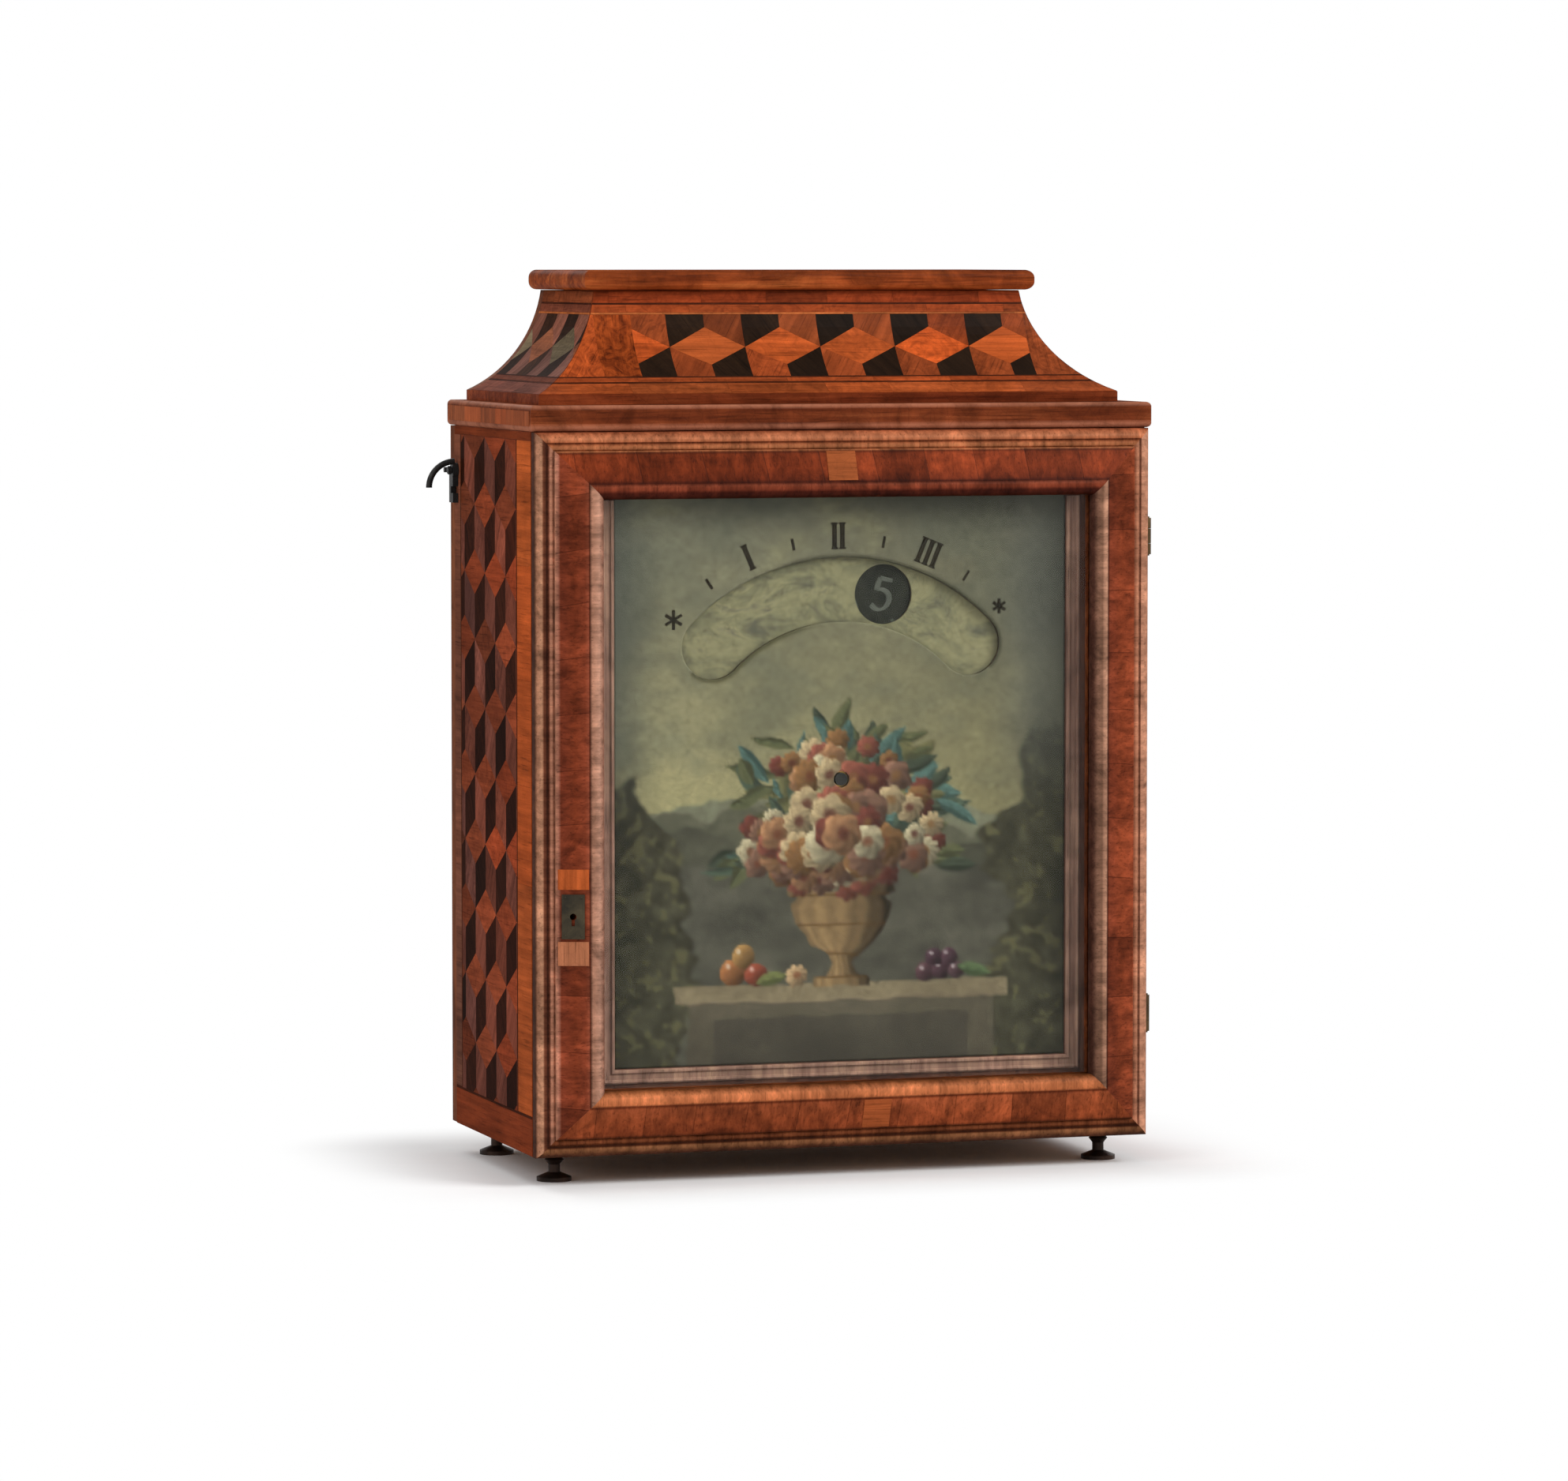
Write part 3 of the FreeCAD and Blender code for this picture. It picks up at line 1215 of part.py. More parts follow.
def pendulum(escape_y):
    rod_y = back_plate_rear + s.pendulum_offset
    tab_front = back_plate_rear + s.cock_reach - s.cock_thick
    anchor(escape_y, tab_front)
    bob_z = anchor_at[1] - s.pendulum_length
    nut_top = bob_z - s.bob_radius
    boss_y = (rod_y - s.pendulum_rod_radius * 2, rod_y + s.pendulum_rod_radius * 2)
    stem = rod("PendulumStem", s.pendulum_rod_radius, "Z", (nut_top - s.nut_thick * 2, anchor_at[1]),
               (ZERO, rod_y))
    boss = rod("PendulumBoss", s.hub_radius, "Y", boss_y, anchor_at)
    nut = rod("RatingNut", s.nut_radius, "Z", (nut_top - s.nut_thick, nut_top), (ZERO, rod_y))
    bore_y = (boss_y[0] - s.cut_margin, boss_y[1] + s.cut_margin)
    bore = rod("BossBore", s.arbor_radius, "Y", bore_y, anchor_at)
    node(cut("PendulumRod", fuse("PendulumSolid", [stem, boss, nut]), [bore]), "pendulum_rod")

    rise = (s.bob_thick - s.bob_edge) / 2
    lens_radius = (s.bob_radius * s.bob_radius + rise * rise) / (rise * 2)
    bob = turned("BobLens", [
        (ZERO, -s.bob_thick / 2, lens_radius, 1),
        (s.bob_radius, -s.bob_edge / 2),
        (s.bob_radius, s.bob_edge / 2, lens_radius, 1),
        (ZERO, s.bob_thick / 2),
    ])
    bob.Placement = Placement(Vector(), AXES["Y"])
    place(bob, ZERO, rod_y, bob_z)
    way = rod("BobWay", s.pendulum_rod_radius, "Z",
              (nut_top - s.cut_margin, bob_z + s.bob_radius + s.cut_margin), (ZERO, rod_y))
    node(cut("Bob", bob, [way]), "pendulum_bob")

    wide = s.cock_width / 2
    foot_low = anchor_at[1] + s.cock_rise
    foot = box("CockFoot", (-wide, wide), (back_plate_rear, tab_front), (foot_low, foot_low + s.cock_foot))
    tab = box("CockTab", (-wide, wide), (tab_front, tab_front + s.cock_thick),
              (anchor_at[1] - s.cock_rise, foot_low + s.cock_foot))
    hole = rod("CockPivot", s.pivot_radius + s.running_play, "Y",
               (tab_front - s.cut_margin, tab_front + s.cock_thick + s.cut_margin), anchor_at)
    node(cut("Cock", fuse("CockSolid", [foot, tab]), [hole]), "pendulum_cock")


# Lamp that lights the hours from behind
def lamp():
    shelf_low = anchor_at[1] + s.shelf_rise
    shelf_top = shelf_low + s.shelf_thick
    node(box("Shelf", (-inner, inner), (front + s.shelf_front, carcass_back - s.shelf_clear),
             (shelf_low, shelf_top)), "lamp_shelf")
    lamp_y = (smoke_y[0] + smoke_y[1]) / 2
    shoulder = s.lamp_body_height + s.lamp_shoulder
    top = shoulder + s.lamp_neck_height
    neck_bore = s.lamp_neck_radius - s.lamp_wall
    foot = s.lamp_radius - s.lamp_shoulder / 2
    font = turned("LampFont", [
        (ZERO, ZERO),
        (foot, ZERO),
        (s.lamp_radius, s.lamp_body_height / 2),
        (s.lamp_radius, s.lamp_body_height),
        (s.lamp_neck_radius, shoulder),
        (s.lamp_neck_radius, top),
        (neck_bore, top),
        (neck_bore, s.lamp_body_height),
        (ZERO, s.lamp_body_height),
    ])
    node(place(font, ZERO, lamp_y, shelf_top), "oil_lamp")
    wick_low = shelf_top + s.lamp_body_height
    wick_high = shelf_top + top + s.wick_length - s.lamp_neck_height
    node(rod("Wick", s.wick_radius, "Z", (wick_low, wick_high), (ZERO, lamp_y)), "lamp_wick")


hinge_sets = hinges()
case_boards(hinge_sets["front"].fixed_cuts + hinge_sets["rear"].fixed_cuts)
hood_boards(hinge_sets["cap"].fixed_cuts)
cap_board(hinge_sets["cap"].moving_cuts)
feet()
keyhole = lock()
door_members([keyhole], hinge_sets["front"].moving_cuts)
door_glazing()
rear_door(hinge_sets["rear"].moving_cuts)
latch()
dial()
hour_work()
movement_frame()
escape_plane = train()
winding()
pendulum(escape_plane)
lamp()
doc.recompute()

# Every object must be sound before anything is written
for item in doc.Objects:
    if "Invalid" in item.State or "Error" in item.State:
        raise RuntimeError("failed object: %s %s" % (item.Name, item.State))
for item in nodes:
    if item.Shape.isNull() or not item.Shape.isValid():
        raise RuntimeError("bad shape: " + item.Label)

os.makedirs("parts", exist_ok=True)
for item in nodes:
    item.Shape.exportStep("parts/%s.step" % item.Label)
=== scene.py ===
import math
import random

import bmesh
import bpy
import numpy as np
from mathutils import Matrix, Vector
from mathutils.geometry import delaunay_2d_cdt


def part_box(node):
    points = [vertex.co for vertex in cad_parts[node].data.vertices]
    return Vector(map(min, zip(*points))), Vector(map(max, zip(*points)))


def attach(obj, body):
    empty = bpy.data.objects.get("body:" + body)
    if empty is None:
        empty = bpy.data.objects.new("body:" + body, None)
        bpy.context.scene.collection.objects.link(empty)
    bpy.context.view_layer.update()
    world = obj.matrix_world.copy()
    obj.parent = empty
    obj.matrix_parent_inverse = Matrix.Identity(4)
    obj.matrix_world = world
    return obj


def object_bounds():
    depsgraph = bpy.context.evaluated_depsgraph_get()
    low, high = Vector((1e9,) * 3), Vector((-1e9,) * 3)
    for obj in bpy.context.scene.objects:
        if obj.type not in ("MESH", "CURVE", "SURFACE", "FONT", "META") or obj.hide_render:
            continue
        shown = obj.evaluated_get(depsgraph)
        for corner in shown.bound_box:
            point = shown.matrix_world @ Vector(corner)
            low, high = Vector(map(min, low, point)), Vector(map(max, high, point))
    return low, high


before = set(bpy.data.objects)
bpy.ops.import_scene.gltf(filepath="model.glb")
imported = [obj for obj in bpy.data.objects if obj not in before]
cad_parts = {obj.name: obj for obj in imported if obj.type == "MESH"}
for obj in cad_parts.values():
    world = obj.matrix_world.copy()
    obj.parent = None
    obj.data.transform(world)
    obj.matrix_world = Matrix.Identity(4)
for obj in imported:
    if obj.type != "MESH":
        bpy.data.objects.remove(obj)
CAD_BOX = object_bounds()
MM = 0.001
chance = random.Random(1687)


def span(node):
    """Lowest and highest corner of a CAD node, in millimetres."""
    low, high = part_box(node)
    return low / MM, high / MM


# Camera
EYE = Vector((-1.1747, -3.7160, 0.5014))
YAW = math.radians(17.44)
PITCH = math.radians(3.95)
LENS = 161.4
SENSOR = 36.0


def photograph_camera():
    """The camera at the photograph's place, with its view level to the right and a little downwards."""
    right = Vector((math.cos(YAW), -math.sin(YAW), 0))
    level = Vector((math.sin(YAW), math.cos(YAW), 0))
    forward = level * math.cos(PITCH) - Vector((0, 0, 1)) * math.sin(PITCH)
    up = right.cross(forward)
    data = bpy.data.cameras.new("camera")
    data.lens = LENS
    data.sensor_width = SENSOR
    data.sensor_fit = "HORIZONTAL"
    data.clip_end = 100
    camera = bpy.data.objects.new("camera", data)
    turn = Matrix((right, up, -forward)).transposed().to_4x4()
    camera.matrix_world = Matrix.Translation(EYE) @ turn
    bpy.context.scene.collection.objects.link(camera)
    bpy.context.scene.camera = camera


photograph_camera()


# Colours and node graphs
WAX = {"Specular_IOR_Level": 0.0, "Coat_Weight": 0.07, "Coat_Roughness": 0.28}
DULL_WAX = {"Specular_IOR_Level": 0.0, "Coat_Weight": 0.025, "Coat_Roughness": 0.3}
NOISE_SPREAD = (0.3, 0.7)
PORE_SPREAD = (0.3, 0.42)
FINE_RELIEF = 0.0002
WARMTH = 0.35


def linear(values):
    """Display values from 0 to 255 as linear light."""
    share = np.asarray(values, float) / 255
    return np.where(share <= 0.04045, share / 12.92, ((share + 0.055) / 1.055) ** 2.4)


def tint(*colour):
    return (*(float(light) for light in linear(colour)), 1.0)


def varied(colour, spread):
    """A display colour made lighter or darker, and a little warmer or cooler, by chance."""
    light = 1 + chance.uniform(-spread, spread)
    warm = 1 + chance.uniform(-spread, spread) * WARMTH
    red, green, blue = colour
    return tint(min(red * light * warm, 255), min(green * light, 255), min(blue * light / warm, 255))


class Graph:
    """The nodes of a material, or of the world, with short calls for those used here."""

    def __init__(self, name, kind="Material"):
        owners = bpy.data.worlds if kind == "World" else bpy.data.materials
        self.owner = owners.new(name)
        self.owner.use_nodes = True
        self.nodes = self.owner.node_tree.nodes
        self.links = self.owner.node_tree.links
        self.nodes.clear()
        self.output = self.add("Output" + kind)

    def feed(self, socket, value):
        if isinstance(value, bpy.types.NodeSocket):
            self.links.new(value, socket)
        else:
            socket.default_value = value

    def add(self, kind, **inputs):
        node = self.nodes.new("ShaderNode" + kind)
        for key, value in inputs.items():
            self.feed(node.inputs[key.replace("_", " ")], value)
        return node

    def place(self):
        return self.add("TexCoord").outputs["Object"]

    def attribute(self, name, output):
        node = self.add("Attribute")
        node.attribute_name = name
        return node.outputs[output]

    def split(self, vector):
        return self.add("SeparateXYZ", Vector=vector).outputs

    def scaled(self, vector, scale):
        return self.add("Mapping", Vector=vector, Scale=scale).outputs["Vector"]

    def stretched(self, vector, along, across, lengthwise):
        """Coordinates for a texture that is drawn out along one axis."""
        scale = [across] * 3
        scale[along] = lengthwise
        return self.scaled(vector, scale)

    def operate(self, node, operation, values):
        node.operation = operation
        for socket, value in zip(node.inputs, values):
            self.feed(socket, value)
        return node.outputs

    def math(self, operation, *values):
        return self.operate(self.add("Math"), operation, values)[0]

    def vector(self, operation, *values):
        found = self.operate(self.add("VectorMath"), operation, values)
        return found["Value" if operation == "LENGTH" else "Vector"]

    def weighted(self, first, share, second):
        return self.math("ADD", self.math("MULTIPLY", first, share), second)

    def noise(self, vector, scale=1.0, detail=4.0, rough=0.55, twist=0.0):
        inputs = {"Vector": vector, "Scale": scale, "Detail": detail, "Roughness": rough, "Distortion": twist}
        return self.add("TexNoise", **inputs).outputs["Fac"]

    def crackle(self, place, scale, width):
        """0 on the edges of small random cells and 1 within them."""
        node = self.add("TexVoronoi")
        node.feature = "DISTANCE_TO_EDGE"
        self.feed(node.inputs["Vector"], self.scaled(place, (scale,) * 3))
        self.feed(node.inputs["Scale"], 1.0)
        return self.grey(node.outputs["Distance"], 0.0, width)

    def cell_tone(self, value):
        node = self.add("TexWhiteNoise")
        node.noise_dimensions = "1D"
        self.feed(node.inputs["W"], value)
        return node.outputs["Value"]

    def ramp(self, factor, *stops):
        """A colour for each factor. Tones of three values are display colours, those of four linear light."""
        node = self.add("ValToRGB", Fac=factor)
        elements = node.color_ramp.elements
        while len(elements) < len(stops):
            elements.new(1.0)
        for element, (at, tone) in zip(elements, stops):
            element.position = at
            element.color = tint(*tone) if len(tone) == 3 else tone
        return node.outputs["Color"]

    def grey(self, factor, low, high, dark=0.0, light=1.0, smooth=False):
        """Rises from dark to light while the factor goes from low to high."""
        node = self.add("MapRange", Value=factor)
        node.clamp = True
        node.interpolation_type = "SMOOTHSTEP" if smooth else "LINEAR"
        for key, value in (("From Min", low), ("From Max", high), ("To Min", dark), ("To Max", light)):
            node.inputs[key].default_value = value
        return node.outputs["Result"]

    def mix(self, factor, first, second, mode="MIX"):
        node = self.add("Mix")
        node.data_type = "RGBA"
        node.blend_type = mode
        for index, value in ((0, factor), (6, first), (7, second)):
            self.feed(node.inputs[index], value)
        return node.outputs[2]

    def shade(self, colour, value, strength=1.0):
        """A colour multiplied by a value around 1."""
        level = self.add("CombineColor", Red=value, Green=value, Blue=value).outputs["Color"]
        return self.mix(strength, colour, level, "MULTIPLY")

    def clouded(self, colour, noise, dark, light):
        """A colour made darker and lighter by a noise."""
        return self.shade(colour, self.grey(noise, *NOISE_SPREAD, dark, light))

    def bump(self, height, strength, distance=FINE_RELIEF):
        return self.add("Bump", Height=height, Strength=strength, Distance=distance).outputs["Normal"]

    def surface(self, colour, **inputs):
        shader = self.add("BsdfPrincipled", Base_Color=colour, **inputs)
        self.links.new(shader.outputs["BSDF"], self.output.inputs["Surface"])
        return self.owner

    def waxed(self, colour, rough, normal, wax=WAX):
        """A surface under a thin coat of wax or varnish."""
        return self.surface(colour, Roughness=rough, Normal=normal, Coat_Normal=normal, **wax)

    def either(self, share, first, second):
        """A surface that goes from one shader to another as the share goes from 0 to 1."""
        node = self.add("MixShader")
        for socket, value in zip(node.inputs, (share, first.outputs[0], second.outputs[0])):
            self.links.new(value, socket)
        self.links.new(node.outputs[0], self.output.inputs["Surface"])
        return self.owner

    def seen(self):
        """1 for the rays that show a background: straight, in polish or through glass."""
        rays = self.add("LightPath").outputs
        straight = self.math("MAXIMUM", rays["Is Camera Ray"], rays["Is Glossy Ray"])
        return self.math("MAXIMUM", straight, rays["Is Transmission Ray"])


# Wood
GRAIN_STOPS = (0.36, 0.5, 0.64)
# Pale tone and reach of rubbed lines along edges: wear with a painted highlight
RUBBED_HIGHLIGHT_TONE = (168, 106, 80)
RUBBED_HIGHLIGHT_REACH = (7, 2)
HOOD_SKIN = 3.0
MASK_BLUR = 0.1


def fibres(g, place, along, across):
    """Fine fibres, broad figure and open pores of wood whose grain runs along one axis."""
    fine = g.stretched(place, along, across, across * 0.045)
    broad = g.stretched(place, along, across * 0.11, across * 0.018)
    pores = g.stretched(place, along, across * 4.0, across * 0.16)
    return (
        g.noise(fine, detail=6, rough=0.66, twist=0.3),
        g.noise(broad, detail=3, rough=0.55, twist=1.3),
        g.noise(pores, detail=2, rough=0.5),
    )


def within(axis, limit):
    """Masks the faces of a board that lie nearer to the middle than a distance."""
    def mask(g, place):
        reach = g.math("ABSOLUTE", g.split(place)[axis])
        return g.grey(reach, limit * MM, (limit + MASK_BLUR) * MM, 1.0, 0.0)
    return mask


def behind_hollow(centre, across):
    """Masks the rear part of a hood board, by the distance from the line that its hollow turns about."""
    def mask(g, place):
        reach = g.vector("SUBTRACT", place, Vector(centre) * MM)
        reach = g.vector("LENGTH", g.vector("MULTIPLY", reach, across))
        start = HOOD_RADIUS + HOOD_SKIN
        return g.grey(reach, start * MM, (start + 2 * MASK_BLUR) * MM)
    return mask


def wood(name, tones, along=2, across=240.0, rough=0.36, mottle=0.35, crackle=0.0,
         levels=(), rubbed_highlights=(), rim=None, inner=None):
    """Polished veneer or board: fibres along one axis, figure, pores and patches.

    levels lightens and darkens it by height as painted light and shade, rubbed_highlights rubs it pale
    at some heights near its rim as wear with a painted highlight, and inner gives the faces in a mask
    other tones.
    """
    g = Graph(name)
    place = g.place()
    parts = g.split(place)
    fibre, figure, pores = fibres(g, place, along, across)
    grain = g.weighted(fibre, 0.55, g.math("MULTIPLY", figure, 0.45))
    colour = g.ramp(grain, *zip(GRAIN_STOPS, tones))
    patches = g.noise(place, scale=34, detail=5, rough=0.62, twist=1.2)
    colour = g.shade(colour, g.grey(patches, 0.32, 0.68, 1 - mottle, 1 + mottle * 0.8))
    pits = g.grey(pores, *PORE_SPREAD, 0.62)
    colour = g.shade(colour, pits)
    # Painted light and shade: bands made lighter or darker by height
    for low, high, dark, light in levels:
        colour = g.shade(colour, g.grey(parts[2], low * MM, high * MM, dark, light, smooth=True))
    # Pale rubbed lines near the rim: wear with a painted highlight
    for low, high, share in rubbed_highlights:
        ends = []
        for part, edge in zip(parts, rim[:2]):
            start, stop = ((edge - reach) * MM for reach in RUBBED_HIGHLIGHT_REACH)
            ends.append(g.grey(g.math("ABSOLUTE", part), start, stop))
        rubbed_highlight = g.math("MULTIPLY", g.grey(parts[2], low * MM, high * MM), g.math("MAXIMUM", *ends))
        rubbed_highlight = g.math("MULTIPLY", rubbed_highlight, g.grey(patches, 0.3, 0.6, 0.35 * share, share))
        colour = g.mix(rubbed_highlight, colour, tint(*RUBBED_HIGHLIGHT_TONE))
    if inner:
        hidden, inside = inner
        bare = g.clouded(g.ramp(grain, *zip(GRAIN_STOPS, inside)), patches, 0.8, 1.15)
        colour = g.mix(hidden(g, place), colour, bare)
    height = g.weighted(fibre, 0.4, pits)
    if crackle:
        lines = g.crackle(place, 170, 0.05)
        colour = g.shade(colour, lines, crackle)
        height = g.math("ADD", height, lines)
    polish = g.grey(g.noise(place, scale=60, detail=5), *NOISE_SPREAD, rough - 0.08, rough + 0.12)
    return g.waxed(colour, polish, g.bump(height, 0.25))


# Colours of the door's members, by the distance in millimetres from their outer edges: the wood's tones
# with painted highlights on the beads and painted shade on faces turned down or away from the light, member
# by member
LEFT_TONE_AND_LIGHT_ZONES = (
    (0.0, (70, 40, 28)), (0.9, (172, 120, 92)), (3.1, (182, 130, 100)), (4.0, (104, 58, 40)),
    (5.9, (56, 28, 18)), (6.9, (100, 54, 38)), (7.6, (168, 112, 88)), (9.3, (176, 122, 96)),
    (11.2, (156, 100, 80)), (12.6, (112, 50, 31)), (20.0, (114, 50, 28)), (25.0, (126, 58, 36)),
    (26.7, (136, 68, 46)), (27.4, (66, 24, 13)), (28.5, (172, 122, 98)), (32.5, (178, 132, 110)),
    (35.4, (128, 86, 70)),
)
RIGHT_TONE_AND_LIGHT_ZONES = (
    (0.0, (138, 92, 72)), (1.0, (172, 120, 94)), (5.0, (178, 124, 97)), (5.9, (130, 80, 59)),
    (6.8, (172, 116, 89)), (9.5, (164, 102, 74)), (10.3, (126, 58, 34)), (18.0, (122, 55, 31)),
    (26.5, (110, 50, 31)), (27.4, (54, 19, 11)), (28.4, (164, 120, 96)), (30.0, (154, 112, 90)),
    (31.2, (118, 84, 66)), (33.6, (124, 88, 70)), (35.4, (78, 48, 38)),
)
TOP_TONE_AND_LIGHT_ZONES = (
    (0.0, (124, 62, 38)), (1.0, (162, 92, 60)), (3.6, (176, 108, 74)), (5.2, (156, 88, 56)),
    (5.9, (96, 42, 21)), (7.0, (150, 86, 54)), (9.0, (164, 102, 66)), (10.2, (150, 88, 54)),
    (11.2, (84, 34, 16)), (12.4, (120, 50, 24)), (20.0, (124, 51, 24)), (26.0, (102, 41, 20)),
    (27.5, (60, 22, 12)), (29.0, (122, 58, 37)), (31.0, (116, 52, 33)), (32.6, (70, 26, 15)),
    (36.0, (52, 20, 12)),
)
BOTTOM_TONE_AND_LIGHT_ZONES = (
    (0.0, (60, 34, 22)), (1.5, (84, 48, 31)), (3.4, (122, 78, 50)), (4.6, (130, 84, 54)),
    (5.4, (80, 41, 22)), (6.0, (52, 24, 13)), (7.2, (98, 51, 29)), (9.3, (130, 71, 42)),
    (10.0, (68, 32, 15)), (11.5, (130, 61, 33)), (18.0, (142, 68, 37)), (26.0, (146, 73, 42)),
    (27.4, (82, 33, 15)), (28.6, (182, 104, 63)), (32.5, (184, 108, 68)), (36.0, (92, 50, 25)),
)
ZONE_REACH = 40.0
VENEER_LENGTH = 0.031


def moulded(name, axis, inward, edge, zones):
    """Veneer of one door member, with joints along it: coloured by the distance from its outer edge, painted
    highlights and shade included.
    """
    g = Graph(name)
    place = g.place()
    parts = g.split(place)
    inset = g.math("MULTIPLY", g.math("SUBTRACT", parts[axis], edge * MM), inward / MM)
    share = g.math("DIVIDE", inset, ZONE_REACH)
    # The zones' colours carry painted highlights and painted shade
    colour = g.ramp(share, *((at / ZONE_REACH, tone) for at, tone in zones))
    fibre, figure, pores = fibres(g, place, axis, 260.0)
    sway = g.noise(g.scaled(place, (4.0, 4.0, 4.0)), detail=1)
    along = g.math("DIVIDE", parts[2 if axis == 0 else 0], VENEER_LENGTH)
    run = g.math("ADD", along, g.math("MULTIPLY", sway, 1.6))
    tone = g.grey(g.cell_tone(g.math("FLOOR", run)), 0.0, 1.0, 0.68, 1.3)
    on_slope = g.math("MULTIPLY", g.grey(share, 0.25, 0.27), g.grey(share, 0.67, 0.685, 1.0, 0.0))
    seam = g.math("ABSOLUTE", g.math("SUBTRACT", g.math("FRACT", run), 0.5))
    seam = g.grey(seam, 0.488, 0.497, 1.0, 0.55)
    for level in (tone, seam):
        colour = g.mix(on_slope, colour, g.shade(colour, level))
    colour = g.clouded(colour, fibre, 0.58, 1.38)
    colour = g.clouded(colour, figure, 0.72, 1.28)
    patches = g.noise(place, scale=42, detail=6, rough=0.66, twist=1.4)
    colour = g.shade(colour, g.grey(patches, 0.32, 0.68, 0.56, 1.36))
    pits = g.grey(pores, *PORE_SPREAD, 0.66)
    colour = g.shade(colour, pits)
    height = g.weighted(fibre, 0.5, g.math("ADD", pits, seam))
    polish = g.grey(g.noise(place, scale=70, detail=5), *NOISE_SPREAD, 0.26, 0.46)
    return g.waxed(colour, polish, g.bump(height, 0.25))


def tile_veneer(name, wax):
    """Veneer of the inlaid tiles, which keep colour, grain direction and share of burl on their corners."""
    g = Graph(name)
    place = g.place()
    grain = g.attribute("grain", "Vector")
    fibre = g.noise(g.scaled(grain, (0.012, 0.26, 1.0)), detail=6, rough=0.66, twist=0.25)
    figure = g.noise(g.scaled(grain, (0.01, 0.05, 1.0)), detail=3, rough=0.5, twist=1.0)
    pores = g.noise(g.scaled(grain, (0.04, 1.1, 1.0)), detail=2)
    colour = g.clouded(g.attribute("tone", "Color"), fibre, 0.7, 1.28)
    colour = g.clouded(colour, figure, 0.76, 1.26)
    knots = g.noise(g.scaled(grain, (0.085, 0.085, 1.0)), detail=5, rough=0.62, twist=2.6)
    burl = g.ramp(knots, (0.34, (120, 88, 70)), (0.46, (232, 214, 196)), (0.62, (1.55, 1.42, 1.2, 1.0)))
    colour = g.mix(g.attribute("burl", "Fac"), colour, g.mix(1.0, colour, burl, "MULTIPLY"))
    pits = g.grey(pores, *PORE_SPREAD, 0.6)
    colour = g.shade(colour, pits)
    patches = g.noise(place, scale=26, detail=4, rough=0.6)
    colour = g.clouded(colour, patches, 0.85, 1.12)
    colour = g.shade(colour, g.crackle(place, 210, 0.05), 0.12)
    polish = g.grey(g.noise(place, scale=55, detail=5), *NOISE_SPREAD, 0.27, 0.45)
    return g.waxed(colour, polish, g.bump(g.weighted(fibre, 0.5, pits), 0.2), wax)


# Metals, paint and glass
def metal(name, tones, rough, brushed=2, tarnish=0.5, metallic=1.0, pits=0.15):
    """Old metal: faint brushing along one axis, clouded tarnish and small pits."""
    g = Graph(name)
    place = g.place()
    strokes = g.noise(g.stretched(place, brushed, 900.0, 40.0), detail=3)
    clouds = g.noise(place, scale=70, detail=6, rough=0.62, twist=0.7)
    colour = g.clouded(g.ramp(clouds, *zip((0.32, 0.68), tones)), strokes, 0.88, 1.1)
    dull = g.grey(clouds, *NOISE_SPREAD, rough + tarnish * 0.3, rough)
    spots = g.grey(g.noise(place, scale=620, detail=2), 0.25, 0.4)
    normal = g.bump(g.weighted(strokes, 0.4, spots), pits)
    return g.surface(colour, Roughness=dull, Metallic=metallic, Normal=normal)


def sky_paint():
    """The hour carrier's face, painted as a cloudy evening sky, and its bare back."""
    g = Graph("carrier_sky_paint")
    place = g.place()
    swirl = g.noise(g.scaled(place, (26, 26, 44)), detail=5, rough=0.6, twist=2.2)
    fine = g.noise(place, scale=260, detail=4, rough=0.7)
    colour = g.ramp(
        swirl,
        (0.30, (84, 83, 71)), (0.46, (111, 108, 85)), (0.58, (124, 119, 92)), (0.72, (98, 95, 81)),
    )
    colour = g.clouded(colour, fine, 0.86, 1.12)
    colour = g.shade(colour, g.crackle(place, 260, 0.04), 0.25)
    painted = span("hour_carrier")[0].y + 0.9
    behind = g.grey(g.split(place)[1], painted * MM, (painted + MASK_BLUR) * MM)
    bare = g.ramp(swirl, (0.32, (52, 38, 30)), (0.68, (96, 68, 50)))
    colour = g.mix(behind, colour, g.clouded(bare, fine, 0.85, 1.12))
    return g.waxed(colour, 0.42, g.bump(g.math("ADD", fine, swirl), 0.15, 0.0003))


def oil_paint():
    """The dial's painted skin: its colours are kept on its points, under brush marks, crackle and varnish."""
    g = Graph("dial_oil_paint")
    place = g.place()
    strokes = g.noise(g.scaled(place, (420, 420, 900)), detail=4, rough=0.65, twist=1.2)
    colour = g.clouded(g.attribute("paint", "Color"), strokes, 0.86, 1.14)
    lines = g.crackle(place, 240, 0.035)
    colour = g.shade(colour, lines, 0.22)
    grime = g.noise(place, scale=16, detail=5, rough=0.6)
    colour = g.clouded(colour, grime, 0.88, 1.08)
    polish = g.grey(grime, *NOISE_SPREAD, 0.34, 0.5)
    return g.waxed(colour, polish, g.bump(g.weighted(lines, 0.5, strokes), 0.2, 0.0003))


def plain_paint(name, dark, light, rough=0.5):
    """A thin coat of old paint, a little cloudy and worn."""
    g = Graph(name)
    place = g.place()
    clouds = g.noise(place, scale=120, detail=6, rough=0.65, twist=0.5)
    grains = g.noise(place, scale=900, detail=2)
    colour = g.clouded(g.ramp(clouds, *zip(NOISE_SPREAD, (dark, light))), grains, 0.9, 1.08)
    dull = g.grey(clouds, *NOISE_SPREAD, rough - 0.08, rough + 0.1)
    return g.waxed(colour, dull, g.bump(g.math("ADD", clouds, grains), 0.12))


